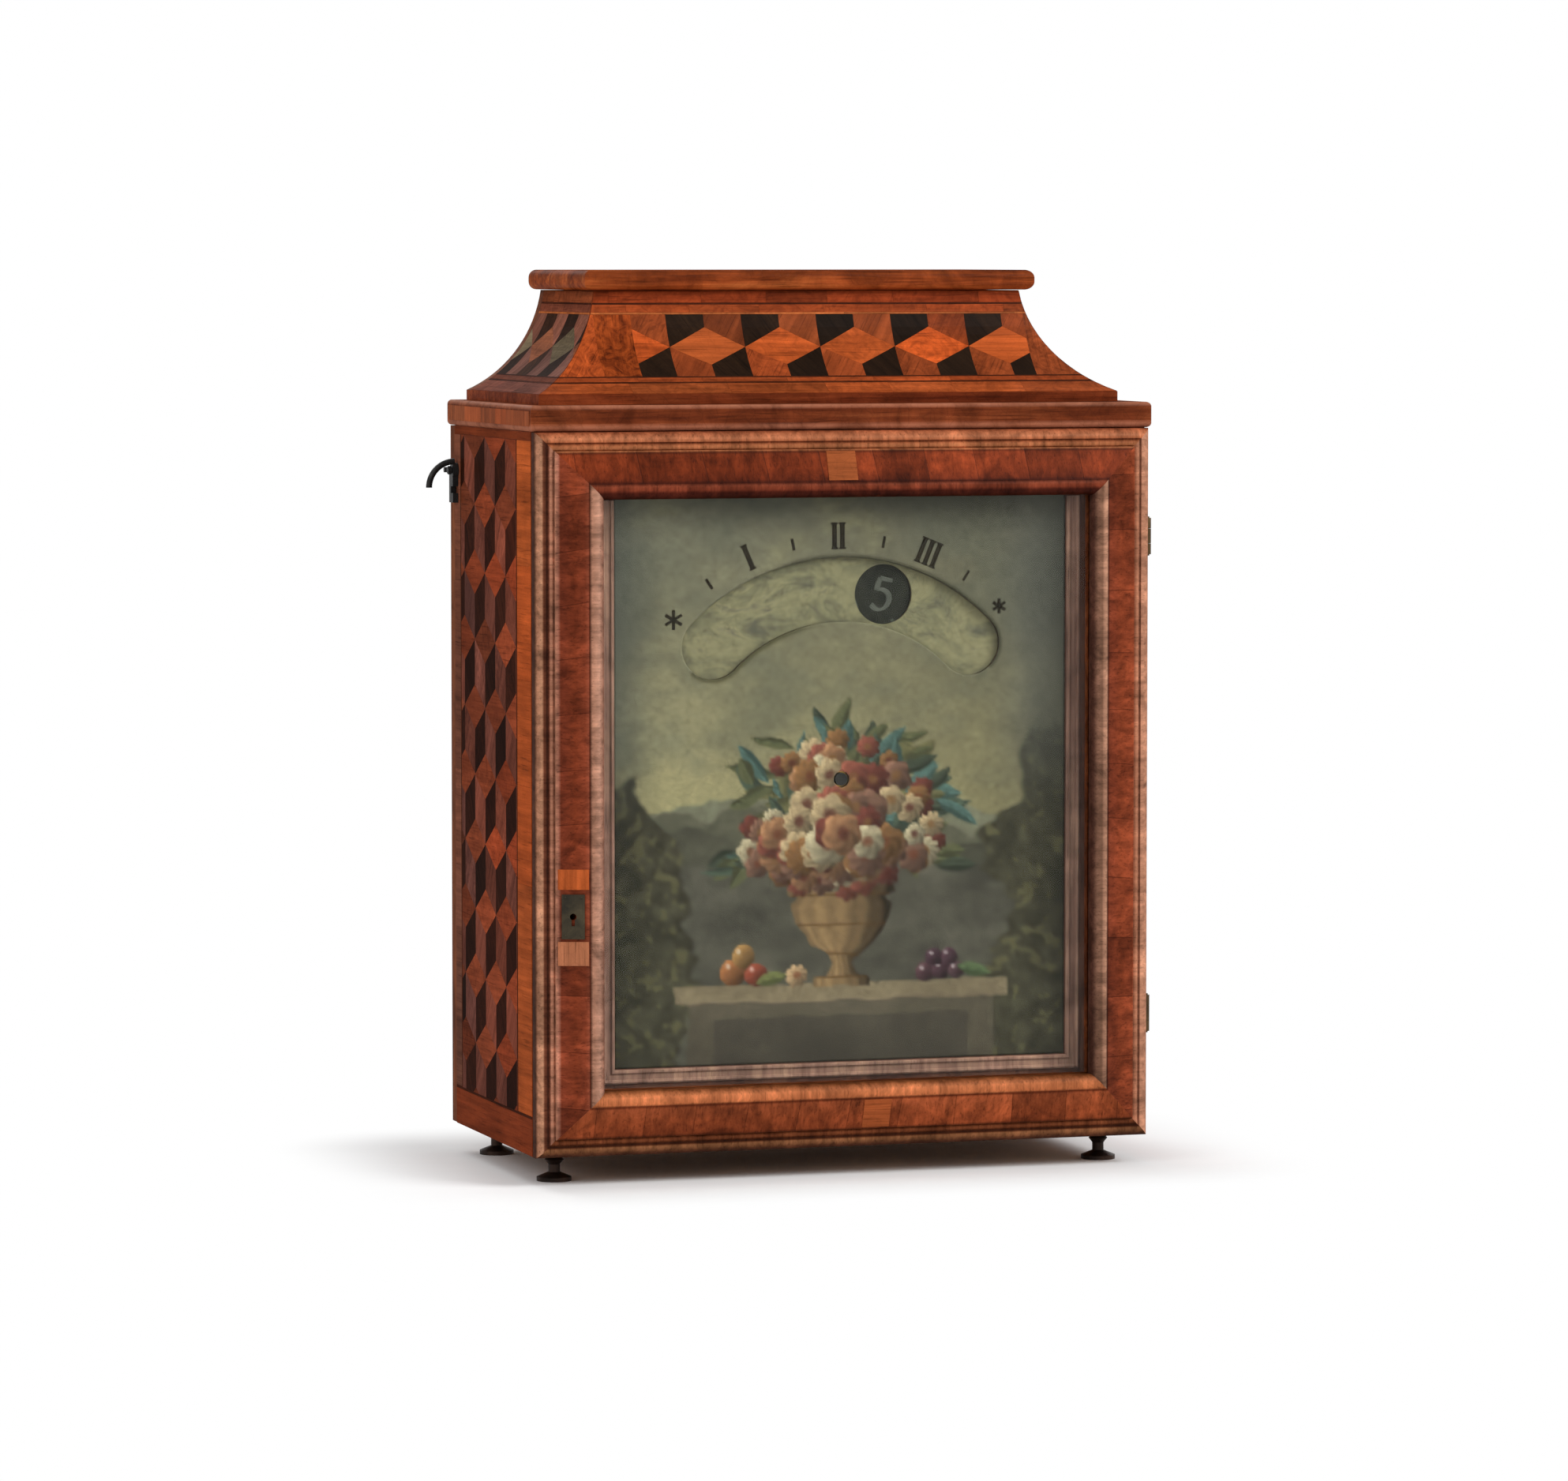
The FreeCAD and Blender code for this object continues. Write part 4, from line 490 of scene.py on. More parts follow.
def pane_glass():
    """Old window glass: slightly wavy, clear to the lamps."""
    g = Graph("old_pane_glass")
    place = g.place()
    waves = g.noise(place, scale=14, detail=2, twist=0.8)
    dust = g.grey(g.noise(place, scale=240, detail=4), 0.35, 0.75, 0.0, 0.05)
    clear = g.add(
        "BsdfPrincipled", Base_Color=tint(250, 251, 246), Roughness=dust, IOR=1.18,
        Transmission_Weight=1.0, Normal=g.bump(waves, 0.04, 0.001),
    )
    through = g.add("BsdfTransparent", Color=tint(246, 248, 242))
    return g.either(g.add("LightPath").outputs["Is Shadow Ray"], clear, through)


def wick_cotton():
    """Woven cotton of the wick, scorched towards its tip."""
    g = Graph("wick_cotton")
    place = g.place()
    high = span("lamp_wick")[1].z * MM
    scorch = g.grey(g.split(place)[2], high - 0.005, high - 0.001)
    weave = g.noise(g.scaled(place, (2600, 2600, 900)), detail=2)
    colour = g.mix(scorch, tint(198, 182, 150), tint(32, 28, 24))
    colour = g.clouded(colour, weave, 0.75, 1.1)
    return g.surface(colour, Roughness=0.9, Normal=g.bump(weave, 0.5, 0.0004))


# Making pieces
def new_piece(name, vertices, faces, material, body, smooth=False):
    """A mesh piece from points in millimetres, riding on a body."""
    mesh = bpy.data.meshes.new(name)
    mesh.from_pydata([Vector(v) * MM for v in vertices], [], faces)
    mesh.validate()
    mesh.materials.append(material)
    mesh.polygons.foreach_set("use_smooth", [smooth] * len(mesh.polygons))
    piece = bpy.data.objects.new(name, mesh)
    bpy.context.scene.collection.objects.link(piece)
    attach(piece, body)
    return piece


def keep_on_points(mesh, key, kind, member, values):
    """Stores one value for each point of a mesh, for its material to read."""
    attribute = mesh.attributes.new(key, kind, "POINT")
    attribute.data.foreach_set(member, np.array(values, np.float32).ravel())


def faced_outward(piece):
    """Turns all faces of a closed piece outwards."""
    edit = bmesh.new()
    edit.from_mesh(piece.data)
    bmesh.ops.recalc_face_normals(edit, faces=edit.faces)
    edit.to_mesh(piece.data)
    edit.free()


def ring(radius, turns):
    """Places on a circle at some angles."""
    return [(radius * math.cos(turn), radius * math.sin(turn)) for turn in turns]


def trimmed(outline, keep):
    """The part of a flat outline where keep(a, b) isn't negative. keep is a straight measure of the place."""
    kept = []
    for (a, b), (c, d) in zip(outline, outline[1:] + outline[:1]):
        here, there = keep(a, b), keep(c, d)
        if here >= 0:
            kept.append((a, b))
        if here * there < 0:
            share = here / (here - there)
            kept.append((a + (c - a) * share, b + (d - b) * share))
    return kept


def flat_area(outline):
    turns = zip(outline, outline[1:] + outline[:1])
    return sum(a * d - c * b for (a, b), (c, d) in turns) / 2


class Inlay:
    """Thin tiles of veneer, drawn as flat outlines (a, b) in millimetres and laid on a face of the case."""

    PROUD = 0.25
    SUNK = -0.1
    SMALLEST = 0.3

    def __init__(self, lay, window, strips=None, sides=None, veneer=None):
        self.veneer = veneer or INLAID
        self.lay = lay
        self.window = window
        self.strips = strips or [window[2], window[3]]
        self.sides = sides
        self.points = []
        self.faces = []
        self.tones = []
        self.grains = []
        self.burls = []

    def cuts(self, outline):
        """The outline in strips that can bend with the face, cut to the window and the slanting sides."""
        low_a, high_a, low_b, high_b = self.window
        for lower, upper in zip(self.strips, self.strips[1:]):
            limits = [
                lambda a, b: b - max(lower, low_b),
                lambda a, b: min(upper, high_b) - b,
                lambda a, b: a - low_a,
                lambda a, b: high_a - a,
            ]
            if self.sides:
                (left, right), (upper_left, upper_right) = self.sides(lower), self.sides(upper)
                rise = upper - lower
                limits += [
                    lambda a, b: a - left - (upper_left - left) * (b - lower) / rise,
                    lambda a, b: right + (upper_right - right) * (b - lower) / rise - a,
                ]
            piece = outline
            for limit in limits:
                piece = trimmed(piece, limit)
            if len(piece) > 2 and abs(flat_area(piece)) > self.SMALLEST:
                yield piece

    def tile(self, outline, tone, grain, gap=0.06, proud=PROUD, burl=0.0):
        """One tile with its colour and the direction of its grain, in degrees from the a axis."""
        middle_a = sum(a for a, b in outline) / len(outline)
        middle_b = sum(b for a, b in outline) / len(outline)
        reach = max(math.dist((a, b), (middle_a, middle_b)) for a, b in outline)
        shrink = 1 - gap / reach
        outline = [
            (middle_a + (a - middle_a) * shrink, middle_b + (b - middle_b) * shrink) for a, b in outline
        ]
        if flat_area(outline) < 0:
            outline.reverse()
        lot = chance.uniform(0, 90)
        cosine, sine = math.cos(math.radians(grain)), math.sin(math.radians(grain))
        known = {}
        tops = []
        for piece in self.cuts(outline):
            face = []
            for a, b in piece:
                key = (round(a, 3), round(b, 3))
                if key not in known:
                    known[key] = len(self.points)
                    for height in (proud, self.SUNK):
                        self.points.append(self.lay(a, b, height))
                        self.tones.append(tone)
                        self.grains.append((a * cosine + b * sine + lot, b * cosine - a * sine, lot))
                        self.burls.append(burl)
                if known[key] not in face:
                    face.append(known[key])
            if len(face) > 2:
                tops.append(face)
        edges = {(f[i - 1], f[i]) for f in tops for i in range(len(f))}
        for face in tops:
            self.faces.append(face)
            self.faces.append([i + 1 for i in reversed(face)])
        for start, end in edges:
            if (end, start) not in edges:
                self.faces.append([start, start + 1, end + 1, end])

    def strip(self, low_a, high_a, low_b, high_b, tone, grain, proud=PROUD, burl=0.0):
        outline = [(low_a, low_b), (high_a, low_b), (high_a, high_b), (low_a, high_b)]
        self.tile(outline, tone, grain, proud=proud, burl=burl)

    def build(self, name, body="case"):
        mesh = new_piece(name, self.points, self.faces, self.veneer, body).data
        for key, kind, member, values in (
            ("tone", "FLOAT_COLOR", "color", self.tones),
            ("grain", "FLOAT_VECTOR", "vector", self.grains),
            ("burl", "FLOAT", "value", self.burls),
        ):
            keep_on_points(mesh, key, kind, member, values)


def tumbling_blocks(side, centre, window):
    """Lozenges of the tumbling-block pattern that meet a window: each is a top, a left or a right face."""
    wide = side * math.sqrt(3) / 2
    half = side / 2
    low_a, high_a, low_b, high_b = window
    first_row = math.floor((low_b - centre[1]) / (1.5 * side)) - 1
    last_row = math.ceil((high_b - centre[1]) / (1.5 * side)) + 2
    first = math.floor((low_a - centre[0]) / (2 * wide)) - 1
    last = math.ceil((high_a - centre[0]) / (2 * wide)) + 1
    for row in range(first_row, last_row):
        for column in range(first, last + 1):
            a = centre[0] + column * 2 * wide + (wide if row % 2 else 0)
            b = centre[1] + row * 1.5 * side
            yield "top", [(a - wide, b), (a, b - half), (a + wide, b), (a, b + half)]
            yield "left", [(a - wide, b), (a - wide, b - side), (a, b - half - side), (a, b - half)]
            yield "right", [(a, b - half), (a, b - half - side), (a + wide, b - side), (a + wide, b)]


GRAIN_OF_FACE = {"top": 0.0, "left": 60.0, "right": 120.0}


# Materials of the CAD nodes
INLAID = tile_veneer("inlaid_veneer", WAX)
DULL_INLAID = tile_veneer("dull_inlaid_veneer", DULL_WAX)
BARE_PINE = ((96, 62, 36), (126, 86, 52), (150, 108, 70))
SOOTY_WOOD = ((44, 30, 22), (66, 46, 33), (88, 64, 46))
BACK_TONES = ((70, 34, 18), (100, 52, 28), (128, 72, 42))
BOARD_LOW, BOARD_HIGH = span("top_board")
CAP_LOW = span("vent_cap")[0]
SLIP_WOOD = wood("slip_moulding", ((100, 72, 63), (130, 98, 87), (156, 122, 105)), across=300, rough=0.4)
IRON = metal("black_iron", ((20, 19, 19), (44, 42, 40)), 0.45, tarnish=0.6, metallic=0.7, pits=0.4)
STEEL = metal("worn_steel", ((128, 126, 122), (186, 184, 178)), 0.24, brushed=1)
LOCK_IRON = metal("lock_plate_iron", ((36, 31, 20), (70, 60, 40)), 0.5, metallic=0.6, pits=0.4)
BLUED_STEEL = metal("blued_steel", ((38, 42, 58), (70, 74, 92)), 0.28, metallic=0.9)
NUMERAL_PAINT = plain_paint("numeral_paint", (62, 65, 61), (88, 90, 84), 0.5)
MARK_PAINT = plain_paint("quarter_mark_paint", (24, 20, 15), (42, 36, 27), 0.45)
DIAL_PAINT = oil_paint()


def finish_nodes(material, names):
    """Gives CAD nodes, named in one text, a material."""
    for name in names.split():
        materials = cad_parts[name].data.materials
        materials.clear()
        materials.append(material)


# Top board: the lower band of its front painted lighter and the rest a little darker, as painted light and
# shade; pale lines along its upper and lower edges, rubbed wear with a painted highlight
finish_nodes(
    wood("top_board_veneer", ((70, 27, 13), (106, 48, 24), (140, 72, 40)), along=0, crackle=0.15, mottle=0.42,
         levels=((BOARD_LOW.z + 3.0, BOARD_LOW.z + 7.0, 1.12, 0.94),),
         rubbed_highlights=((BOARD_HIGH.z - 2.6, BOARD_HIGH.z - 0.6, 1.0), (BOARD_LOW.z + 4.4, BOARD_LOW.z + 2.6, 0.7)),
         rim=BOARD_HIGH, inner=(within(2, BOARD_LOW.z), BARE_PINE)),
    "top_board")
# Cap: painted light and shade, its lower part lighter and its upper part and top darker
finish_nodes(
    wood("cap_veneer", ((92, 38, 16), (140, 64, 28), (170, 90, 44)), along=0, crackle=0.12, mottle=0.42,
         levels=((CAP_LOW.z + 4.0, CAP_LOW.z + 9.0, 1.14, 0.8),), inner=(within(2, CAP_LOW.z), SOOTY_WOOD)),
    "vent_cap")
finish_nodes(
    wood("veneer_upright", ((80, 32, 16), (116, 50, 26), (144, 70, 38)), crackle=0.15,
         inner=(within(0, span("right_side")[0].x), BARE_PINE)),
    "left_side right_side")
finish_nodes(
    wood("back_board", BACK_TONES, across=170, rough=0.5,
         inner=(within(1, span("rear_door_panel")[0].y), BARE_PINE)),
    "rear_door_panel")
finish_nodes(
    wood("hood_back_board", BACK_TONES, along=0, across=170, rough=0.5,
         inner=(within(1, span("hood_back")[0].y), SOOTY_WOOD)),
    "hood_back")
for name, tones, settings, nodes in (
    ("plinth_veneer", ((88, 34, 16), (124, 54, 27), (152, 74, 40)), {"along": 0, "crackle": 0.15},
     "hood_plinth"),
    ("inside_pine", ((112, 74, 42), (146, 102, 62), (170, 126, 82)), {"across": 150, "rough": 0.6},
     "base_board"),
    ("shelf_pine", ((98, 66, 40), (130, 92, 58), (154, 114, 76)), {"along": 0, "across": 150, "rough": 0.62},
     "seat_board lamp_shelf"),
    ("glazing_wood", ((66, 30, 16), (94, 46, 24), (120, 64, 36)), {"along": 0, "rough": 0.45},
     "glazing_strips"),
    ("dial_surround", ((64, 38, 32), (88, 56, 46), (108, 72, 58)), {"rough": 0.42}, "dial_frame"),
):
    finish_nodes(wood(name, tones, **settings), nodes)
for name, tones, rough, settings, nodes in (
    ("aged_brass", ((160, 126, 68), (190, 154, 88)), 0.27, {"tarnish": 0.3},
     "movement_back_plate movement_front_plate movement_pillars carrier_wheel centre_wheel third_wheel"
     " escape_wheel spring_barrel ratchet_wheel pendulum_bob pendulum_cock"),
    ("dark_bronze", ((46, 35, 22), (96, 74, 46)), 0.4, {"metallic": 0.85, "pits": 0.3},
     "hinge_pins case_hinge_leaves door_hinge_leaves rear_door_hinge_leaves cap_hinge_leaves"),
    ("foot_bronze", ((22, 17, 14), (64, 46, 37)), 0.42, {"metallic": 0.8, "pits": 0.3}, "feet"),
    ("blackened_copper", ((40, 30, 26), (78, 56, 44)), 0.5, {"metallic": 0.85}, "dial_plate"),
    ("old_tinplate", ((112, 110, 104), (158, 156, 148)), 0.36, {"tarnish": 0.7}, "oil_lamp"),
):
    finish_nodes(metal(name, tones, rough, **settings), nodes)
for material, nodes in (
    (IRON, "latch_hook latch_pivot latch_stud lock_case carrier_stud"),
    (LOCK_IRON, "lock_plate"),
    (STEEL,
     "lock_bolt centre_arbor third_arbor escape_arbor winding_arbor click click_screw anchor"
     " pendulum_rod"),
    (sky_paint(), "hour_carrier"),
    (plain_paint("hour_disc_paint", (27, 28, 26), (47, 48, 42), 0.55),
     "hour_disc_1 hour_disc_2 hour_disc_3 hour_disc_4"),
    (pane_glass(), "door_glass"),
    (wick_cotton(), "lamp_wick"),
):
    finish_nodes(material, nodes)
for node, axis, inward, zones in (
    ("door_stile_left", 0, 1, LEFT_TONE_AND_LIGHT_ZONES),
    ("door_stile_right", 0, -1, RIGHT_TONE_AND_LIGHT_ZONES),
    ("door_rail_top", 2, -1, TOP_TONE_AND_LIGHT_ZONES),
    ("door_rail_bottom", 2, 1, BOTTOM_TONE_AND_LIGHT_ZONES),
):
    edge = span(node)[0 if inward > 0 else 1][axis]
    finish_nodes(moulded("door_veneer_" + node.split("_")[-1], axis, inward, edge, zones), node)


# Sides of the case: a tumbling-block field in plain borders
BLOCK = 24.9
BLOCK_START = 13.8
BLOCK_LEVEL = 65.7
FIELD_LOW = 37.5
FIELD_HIGH = 402.0
FRONT_BORDER = 30.0
REAR_BORDER = 14.0
WARM_REACH = 130
LINE = 1.4
BORDER_GAP = 1.6
RIM = 0.4
SIDE_TONES = {"top": (132, 62, 36), "left": (110, 62, 48), "right": (46, 22, 13)}
FRONT_BORDER_TONE = (166, 78, 36)
REAR_BORDER_TONE = (112, 67, 50)


def end_face(face_x, outward):
    """Places on a face that looks left or right. Seen from outside, a runs to the right and b upwards."""
    def lay(a, b, height):
        return face_x + outward * height, outward * a, b
    return lay


def lengths(start, stop, least, most):
    """Ends of pieces, cut to length by chance, that follow each other from start to stop."""
    while start < stop:
        end = min(start + chance.uniform(least, most), stop)
        yield start, end
        start = end


def side_inlay(name, side, outward):
    """The inlaid face of one side board."""
    low, high = span(side)
    front, rear = outward * low.y, outward * high.y
    field_front = front + outward * FRONT_BORDER
    field_rear = rear - outward * REAR_BORDER
    field = (*sorted((field_front, field_rear)), FIELD_LOW, FIELD_HIGH)
    inlay = Inlay(end_face(low.x if outward < 0 else high.x, outward), field, veneer=DULL_INLAID)
    for face, outline in tumbling_blocks(BLOCK, (outward * BLOCK_START, BLOCK_LEVEL), field):
        nearness = 1 - abs(outline[0][0] - field_front) / WARM_REACH
        red, green, blue = SIDE_TONES[face]
        warm = (red * (0.9 + 0.2 * nearness), green * (0.93 + 0.1 * nearness), blue)
        inlay.tile(outline, varied(warm, 0.17), GRAIN_OF_FACE[face], burl=chance.uniform(0, 0.35))
    first, last = sorted((front, rear))
    inlay.window = (first, last, low.z, high.z)
    inlay.strips = [low.z, high.z]
    border_low = FIELD_LOW + 0.3
    for level, upper in lengths(border_low, FIELD_HIGH, 52, 78):
        for inner, outer, tone in (
            (field_front - outward * BORDER_GAP, front + outward * RIM, FRONT_BORDER_TONE),
            (field_rear + outward * BORDER_GAP, rear - outward * RIM, REAR_BORDER_TONE),
        ):
            inlay.strip(*sorted((inner, outer)), level, upper, varied(tone, 0.1), 0)
    for edge in (field_front, field_rear + outward * LINE):
        inlay.strip(edge, edge - outward * LINE, border_low, FIELD_HIGH, varied((70, 32, 17), 0.05), 90)
    for lower, upper, tone, spread in (
        (low.z + RIM, FIELD_LOW - 1.3, (122, 54, 28), 0.06),
        (FIELD_LOW - 1.2, FIELD_LOW + 0.1, (66, 30, 16), 0.05),
        (FIELD_HIGH + 0.2, high.z - 0.3, (112, 50, 26), 0.06),
    ):
        inlay.strip(first + RIM, last - RIM, lower, upper, varied(tone, spread), 0)
    inlay.build(name)


side_inlay("left_side_parquetry", "left_side", -1)
side_inlay("right_side_parquetry", "right_side", 1)


# Hood: a frieze cut from the same pattern, between plain bands, bent to the hollow boards
HOOD_RADIUS = 72.0
HOOD_SWEEP = 43.0
HOOD_FOOT = span("hood_plinth")[1].z
HOOD_HIGH = span("hood_front")[1].z
HOOD_HALF = span("hood_plinth")[1].x
HOOD_FRONT = span("hood_plinth")[0].y
HOOD_REAR = span("hood_left")[1].y
HOOD_CHORD = math.hypot(HOOD_SWEEP, HOOD_HIGH - HOOD_FOOT)
HOOD_SPREAD = 2 * math.asin(HOOD_CHORD / 2 / HOOD_RADIUS)
HOOD_CURVE = HOOD_SPREAD * HOOD_RADIUS
HOOD_CENTRE_OFFSET = math.sqrt(HOOD_RADIUS**2 - (HOOD_CHORD / 2) ** 2)
HOOD_CENTRE_BACK = HOOD_SWEEP / 2 - HOOD_CENTRE_OFFSET * (HOOD_HIGH - HOOD_FOOT) / HOOD_CHORD
HOOD_CENTRE_HIGH = (HOOD_FOOT + HOOD_HIGH) / 2 + HOOD_CENTRE_OFFSET * HOOD_SWEEP / HOOD_CHORD
HOOD_START = math.atan2(HOOD_FOOT - HOOD_CENTRE_HIGH, -HOOD_CENTRE_BACK)
FRIEZE_LOW = 18.0
FRIEZE_HIGH = 60.0
FRIEZE_LEVEL = 40.0


def hollow(along, height=0.0):
    """How far back from the foot and how high the hollow face is, a length along its curve."""
    angle = HOOD_START + HOOD_SPREAD * along / HOOD_CURVE
    reach = HOOD_RADIUS - height
    return HOOD_CENTRE_BACK + reach * math.cos(angle), HOOD_CENTRE_HIGH + reach * math.sin(angle)


def hood_veneer():
    """Polished outside and sooty inside, on each hollow board."""
    tones = ((86, 34, 16), (121, 53, 27), (149, 73, 40))
    aside = HOOD_HALF - HOOD_CENTRE_BACK
    for name, along, centre, across in (
        ("hood_front", 0, (0, HOOD_FRONT + HOOD_CENTRE_BACK, HOOD_CENTRE_HIGH), (0, 1, 1)),
        ("hood_left", 1, (-aside, 0, HOOD_CENTRE_HIGH), (1, 0, 1)),
        ("hood_right", 1, (aside, 0, HOOD_CENTRE_HIGH), (1, 0, 1)),
    ):
        inner = (behind_hollow(centre, across), SOOTY_WOOD)
        finish_nodes(wood(name + "_veneer", tones, along=along, crackle=0.15, inner=inner), name)


def hood_strips():
    count = 14
    return [0.3 + (HOOD_CURVE - 0.6) * i / count for i in range(count + 1)]


def hood_bands(inlay, low_a, high_a, tones):
    """Plain bands and thin lines below and above a frieze, in lengths that meet end to end."""
    lower, middle, upper = tones
    for low_b, high_b, tone, spread in (
        (0.3, 11.6, lower, 0.08),
        (11.7, 13.0, (66, 30, 15), 0.04),
        (13.1, 17.0, middle, 0.07),
        (17.1, FRIEZE_LOW, (58, 27, 14), 0.04),
        (FRIEZE_HIGH + 0.1, FRIEZE_HIGH + 1.1, (176, 96, 50), 0.05),
        (FRIEZE_HIGH + 1.2, FRIEZE_HIGH + 5.6, middle, 0.07),
        (FRIEZE_HIGH + 5.7, FRIEZE_HIGH + 6.6, (66, 30, 15), 0.04),
        (FRIEZE_HIGH + 6.7, HOOD_CURVE - 0.3, upper, 0.07),
    ):
        for start, end in lengths(low_a, high_a, 34, 62):
            inlay.strip(start, end, low_b, high_b, varied(tone, spread), 0, burl=0.3)


def hood_front_inlay():
    """The front frieze, with a plain piece at each mitre."""
    def lay(a, b, height):
        back, high = hollow(b, height)
        return a, HOOD_FRONT + back, high

    def sides(b):
        reach = HOOD_HALF - hollow(min(max(b, 0), HOOD_CURVE))[0] - 0.3
        return -reach, reach

    reach = HOOD_HALF
    first, last, joint = -103.0, 124.0, -124.0
    inlay = Inlay(lay, (first, last, FRIEZE_LOW, FRIEZE_HIGH), hood_strips(), sides)
    tones = {"top": (170, 78, 35), "left": (130, 61, 30), "right": (34, 22, 13)}
    for face, outline in tumbling_blocks(BLOCK, (24.7, FRIEZE_LEVEL), inlay.window):
        inlay.tile(outline, varied(tones[face], 0.15), GRAIN_OF_FACE[face], burl=chance.uniform(0, 0.4))
    inlay.window = (-reach, reach, 0.0, HOOD_CURVE)
    inlay.strip(joint, first, FRIEZE_LOW, FRIEZE_HIGH, varied((138, 62, 25), 0.03), 90, burl=0.75)
    inlay.tile([(-reach, FRIEZE_LOW), (-132.0, FRIEZE_LOW), (joint, FRIEZE_LOW), (joint, FRIEZE_HIGH),
                (-reach, FRIEZE_HIGH)], varied((164, 75, 34), 0.03), 60, burl=0.6)
    inlay.strip(last, 160.0, FRIEZE_LOW, FRIEZE_HIGH, varied((138, 66, 34), 0.1), 90, burl=0.5)
    hood_bands(inlay, -reach, reach, ((152, 74, 37), (146, 66, 31), (138, 58, 27)))
    inlay.build("hood_front_frieze")


def hood_side_inlay(name, outward):
    """The frieze of one side of the hood, running back from its mitre."""
    def lay(a, b, height):
        back, high = hollow(b, height)
        return outward * (HOOD_HALF - back), outward * a, high

    def sides(b):
        mitre = HOOD_FRONT + hollow(min(max(b, 0), HOOD_CURVE))[0] + 0.3
        rear = HOOD_REAR - 0.3
        return (mitre, rear) if outward > 0 else (-rear, -mitre)

    reach = 90.0
    window = (-reach, reach, FRIEZE_LOW, FRIEZE_HIGH)
    inlay = Inlay(lay, window, hood_strips(), sides, DULL_INLAID)
    tones = {"left": (128, 82, 68), "right": (50, 30, 20)}
    tops = ((112, 48, 42), (106, 96, 76), (130, 78, 54))
    for face, outline in tumbling_blocks(BLOCK, (-4.0 * outward, FRIEZE_LEVEL), window):
        tone = chance.choice(tops) if face == "top" else tones[face]
        inlay.tile(outline, varied(tone, 0.16), GRAIN_OF_FACE[face], burl=chance.uniform(0, 0.4))
    inlay.window = (-reach, reach, 0.0, HOOD_CURVE)
    hood_bands(inlay, -reach, reach, ((118, 70, 58), (112, 58, 40), (132, 66, 36)))
    inlay.build(name)


hood_veneer()
hood_front_inlay()
hood_side_inlay("hood_left_frieze", -1)
hood_side_inlay("hood_right_frieze", 1)


# Ends of the top board: cross-grained veneer
BOARD_END = 84.6
BOARD_ROUND = 2.9


def board_end(name, outward):
    """Short lengths of veneer along one end of the top board."""
    low, high = BOARD_LOW.z + BOARD_ROUND, BOARD_HIGH.z - BOARD_ROUND
    face_x = BOARD_HIGH.x if outward > 0 else BOARD_LOW.x
    inlay = Inlay(end_face(face_x, outward), (-BOARD_END, BOARD_END, low, high))
    for start, end in lengths(-BOARD_END, BOARD_END, 22, 40):
        inlay.strip(start, end, low, high, varied((150, 76, 42), 0.13), 90)
    inlay.build(name)


board_end("top_board_left_end", -1)
board_end("top_board_right_end", 1)


# Back: boards of the rear door between clamped ends
CLAMP_HEIGHT = 48.0
BOARD_WIDTHS = (78.0, 64.0, 71.0, 59.0, 78.0)
JOINT = 0.5
JOINT_PROUD = 0.08


def back_boards():
    """Upright boards with a crosswise board at each end, on the rear door."""
    low, high = span("rear_door_panel")
    shadow = tint(30, 17, 11)

    def lay(a, b, height):
        return -a, high.y + height, b

    inlay = Inlay(lay, (low.x + 0.3, high.x - 0.3, low.z + 0.3, high.z - 0.3))
    foot, head = low.z + CLAMP_HEIGHT, high.z - CLAMP_HEIGHT
    inlay.strip(low.x, high.x, low.z, foot - JOINT, varied((94, 50, 29), 0.05), 0)
    inlay.strip(low.x, high.x, head + JOINT, high.z, varied((98, 53, 30), 0.05), 0)
    start = low.x
    for width in BOARD_WIDTHS:
        end = start + width
        inlay.strip(start + JOINT, end - JOINT, foot + JOINT, head - JOINT, varied((104, 57, 33), 0.16), 90)
        inlay.strip(start - JOINT, start + JOINT, foot, head, shadow, 90, proud=JOINT_PROUD)
        start = end
    for level in (foot, head):
        inlay.strip(low.x, high.x, level - JOINT, level + JOINT, shadow, 0, proud=JOINT_PROUD)
    inlay.build("rear_door_boards", "rear_door")


back_boards()


# Door: small inlaid blocks on the sloping faces of its frame
SLOPE_START = (10.0, 11.5)
SLOPE_END = (27.5, 18.0)
SLOPE_LENGTH = math.dist(SLOPE_START, SLOPE_END)
SLOPE_COSINE = (SLOPE_END[0] - SLOPE_START[0]) / SLOPE_LENGTH
SLOPE_SINE = (SLOPE_END[1] - SLOPE_START[1]) / SLOPE_LENGTH
DOOR_BACK = span("door_stile_left")[1].y
DOOR_EDGE = span("door_stile_left")[0].x
DOOR_TOP = span("door_rail_top")[1].z
DOOR_FOOT = span("door_rail_bottom")[0].z


def on_slope(a, height):
    """Distance inward from the door's edge and forward from its back, a length up the sloping face."""
    inward = SLOPE_START[0] + a * SLOPE_COSINE - height * SLOPE_SINE
    forward = SLOPE_START[1] + a * SLOPE_SINE + height * SLOPE_COSINE
    return inward, DOOR_BACK - forward


def door_inlay():
    """Lighter blocks in the middle of both rails and beside the lock."""
    for name, spot, blocks in (
        ("left_stile_inlay", lambda inward, along: (DOOR_EDGE + inward, along),
         ((161.5, 172.5, (176, 84, 40)), (120.5, 133.5, (168, 104, 72)))),
        ("top_rail_inlay", lambda inward, along: (along, DOOR_TOP - inward),
         ((-13.0, 3.5, (158, 81, 41)),)),
        ("bottom_rail_inlay", lambda inward, along: (along, DOOR_FOOT + inward),
         ((7.5, 23.0, (166, 84, 44)),)),
    ):
        def lay(a, b, height):
            inward, y = on_slope(a, height)
            x, z = spot(inward, b)
            return x, y, z

        inlay = Inlay(lay, (0.0, SLOPE_LENGTH, -500.0, 500.0))
        for low, high, tone in blocks:
            inlay.strip(1.0, SLOPE_LENGTH - 0.8, low, high, varied(tone, 0.04), 90)
        inlay.build(name, "front_door")


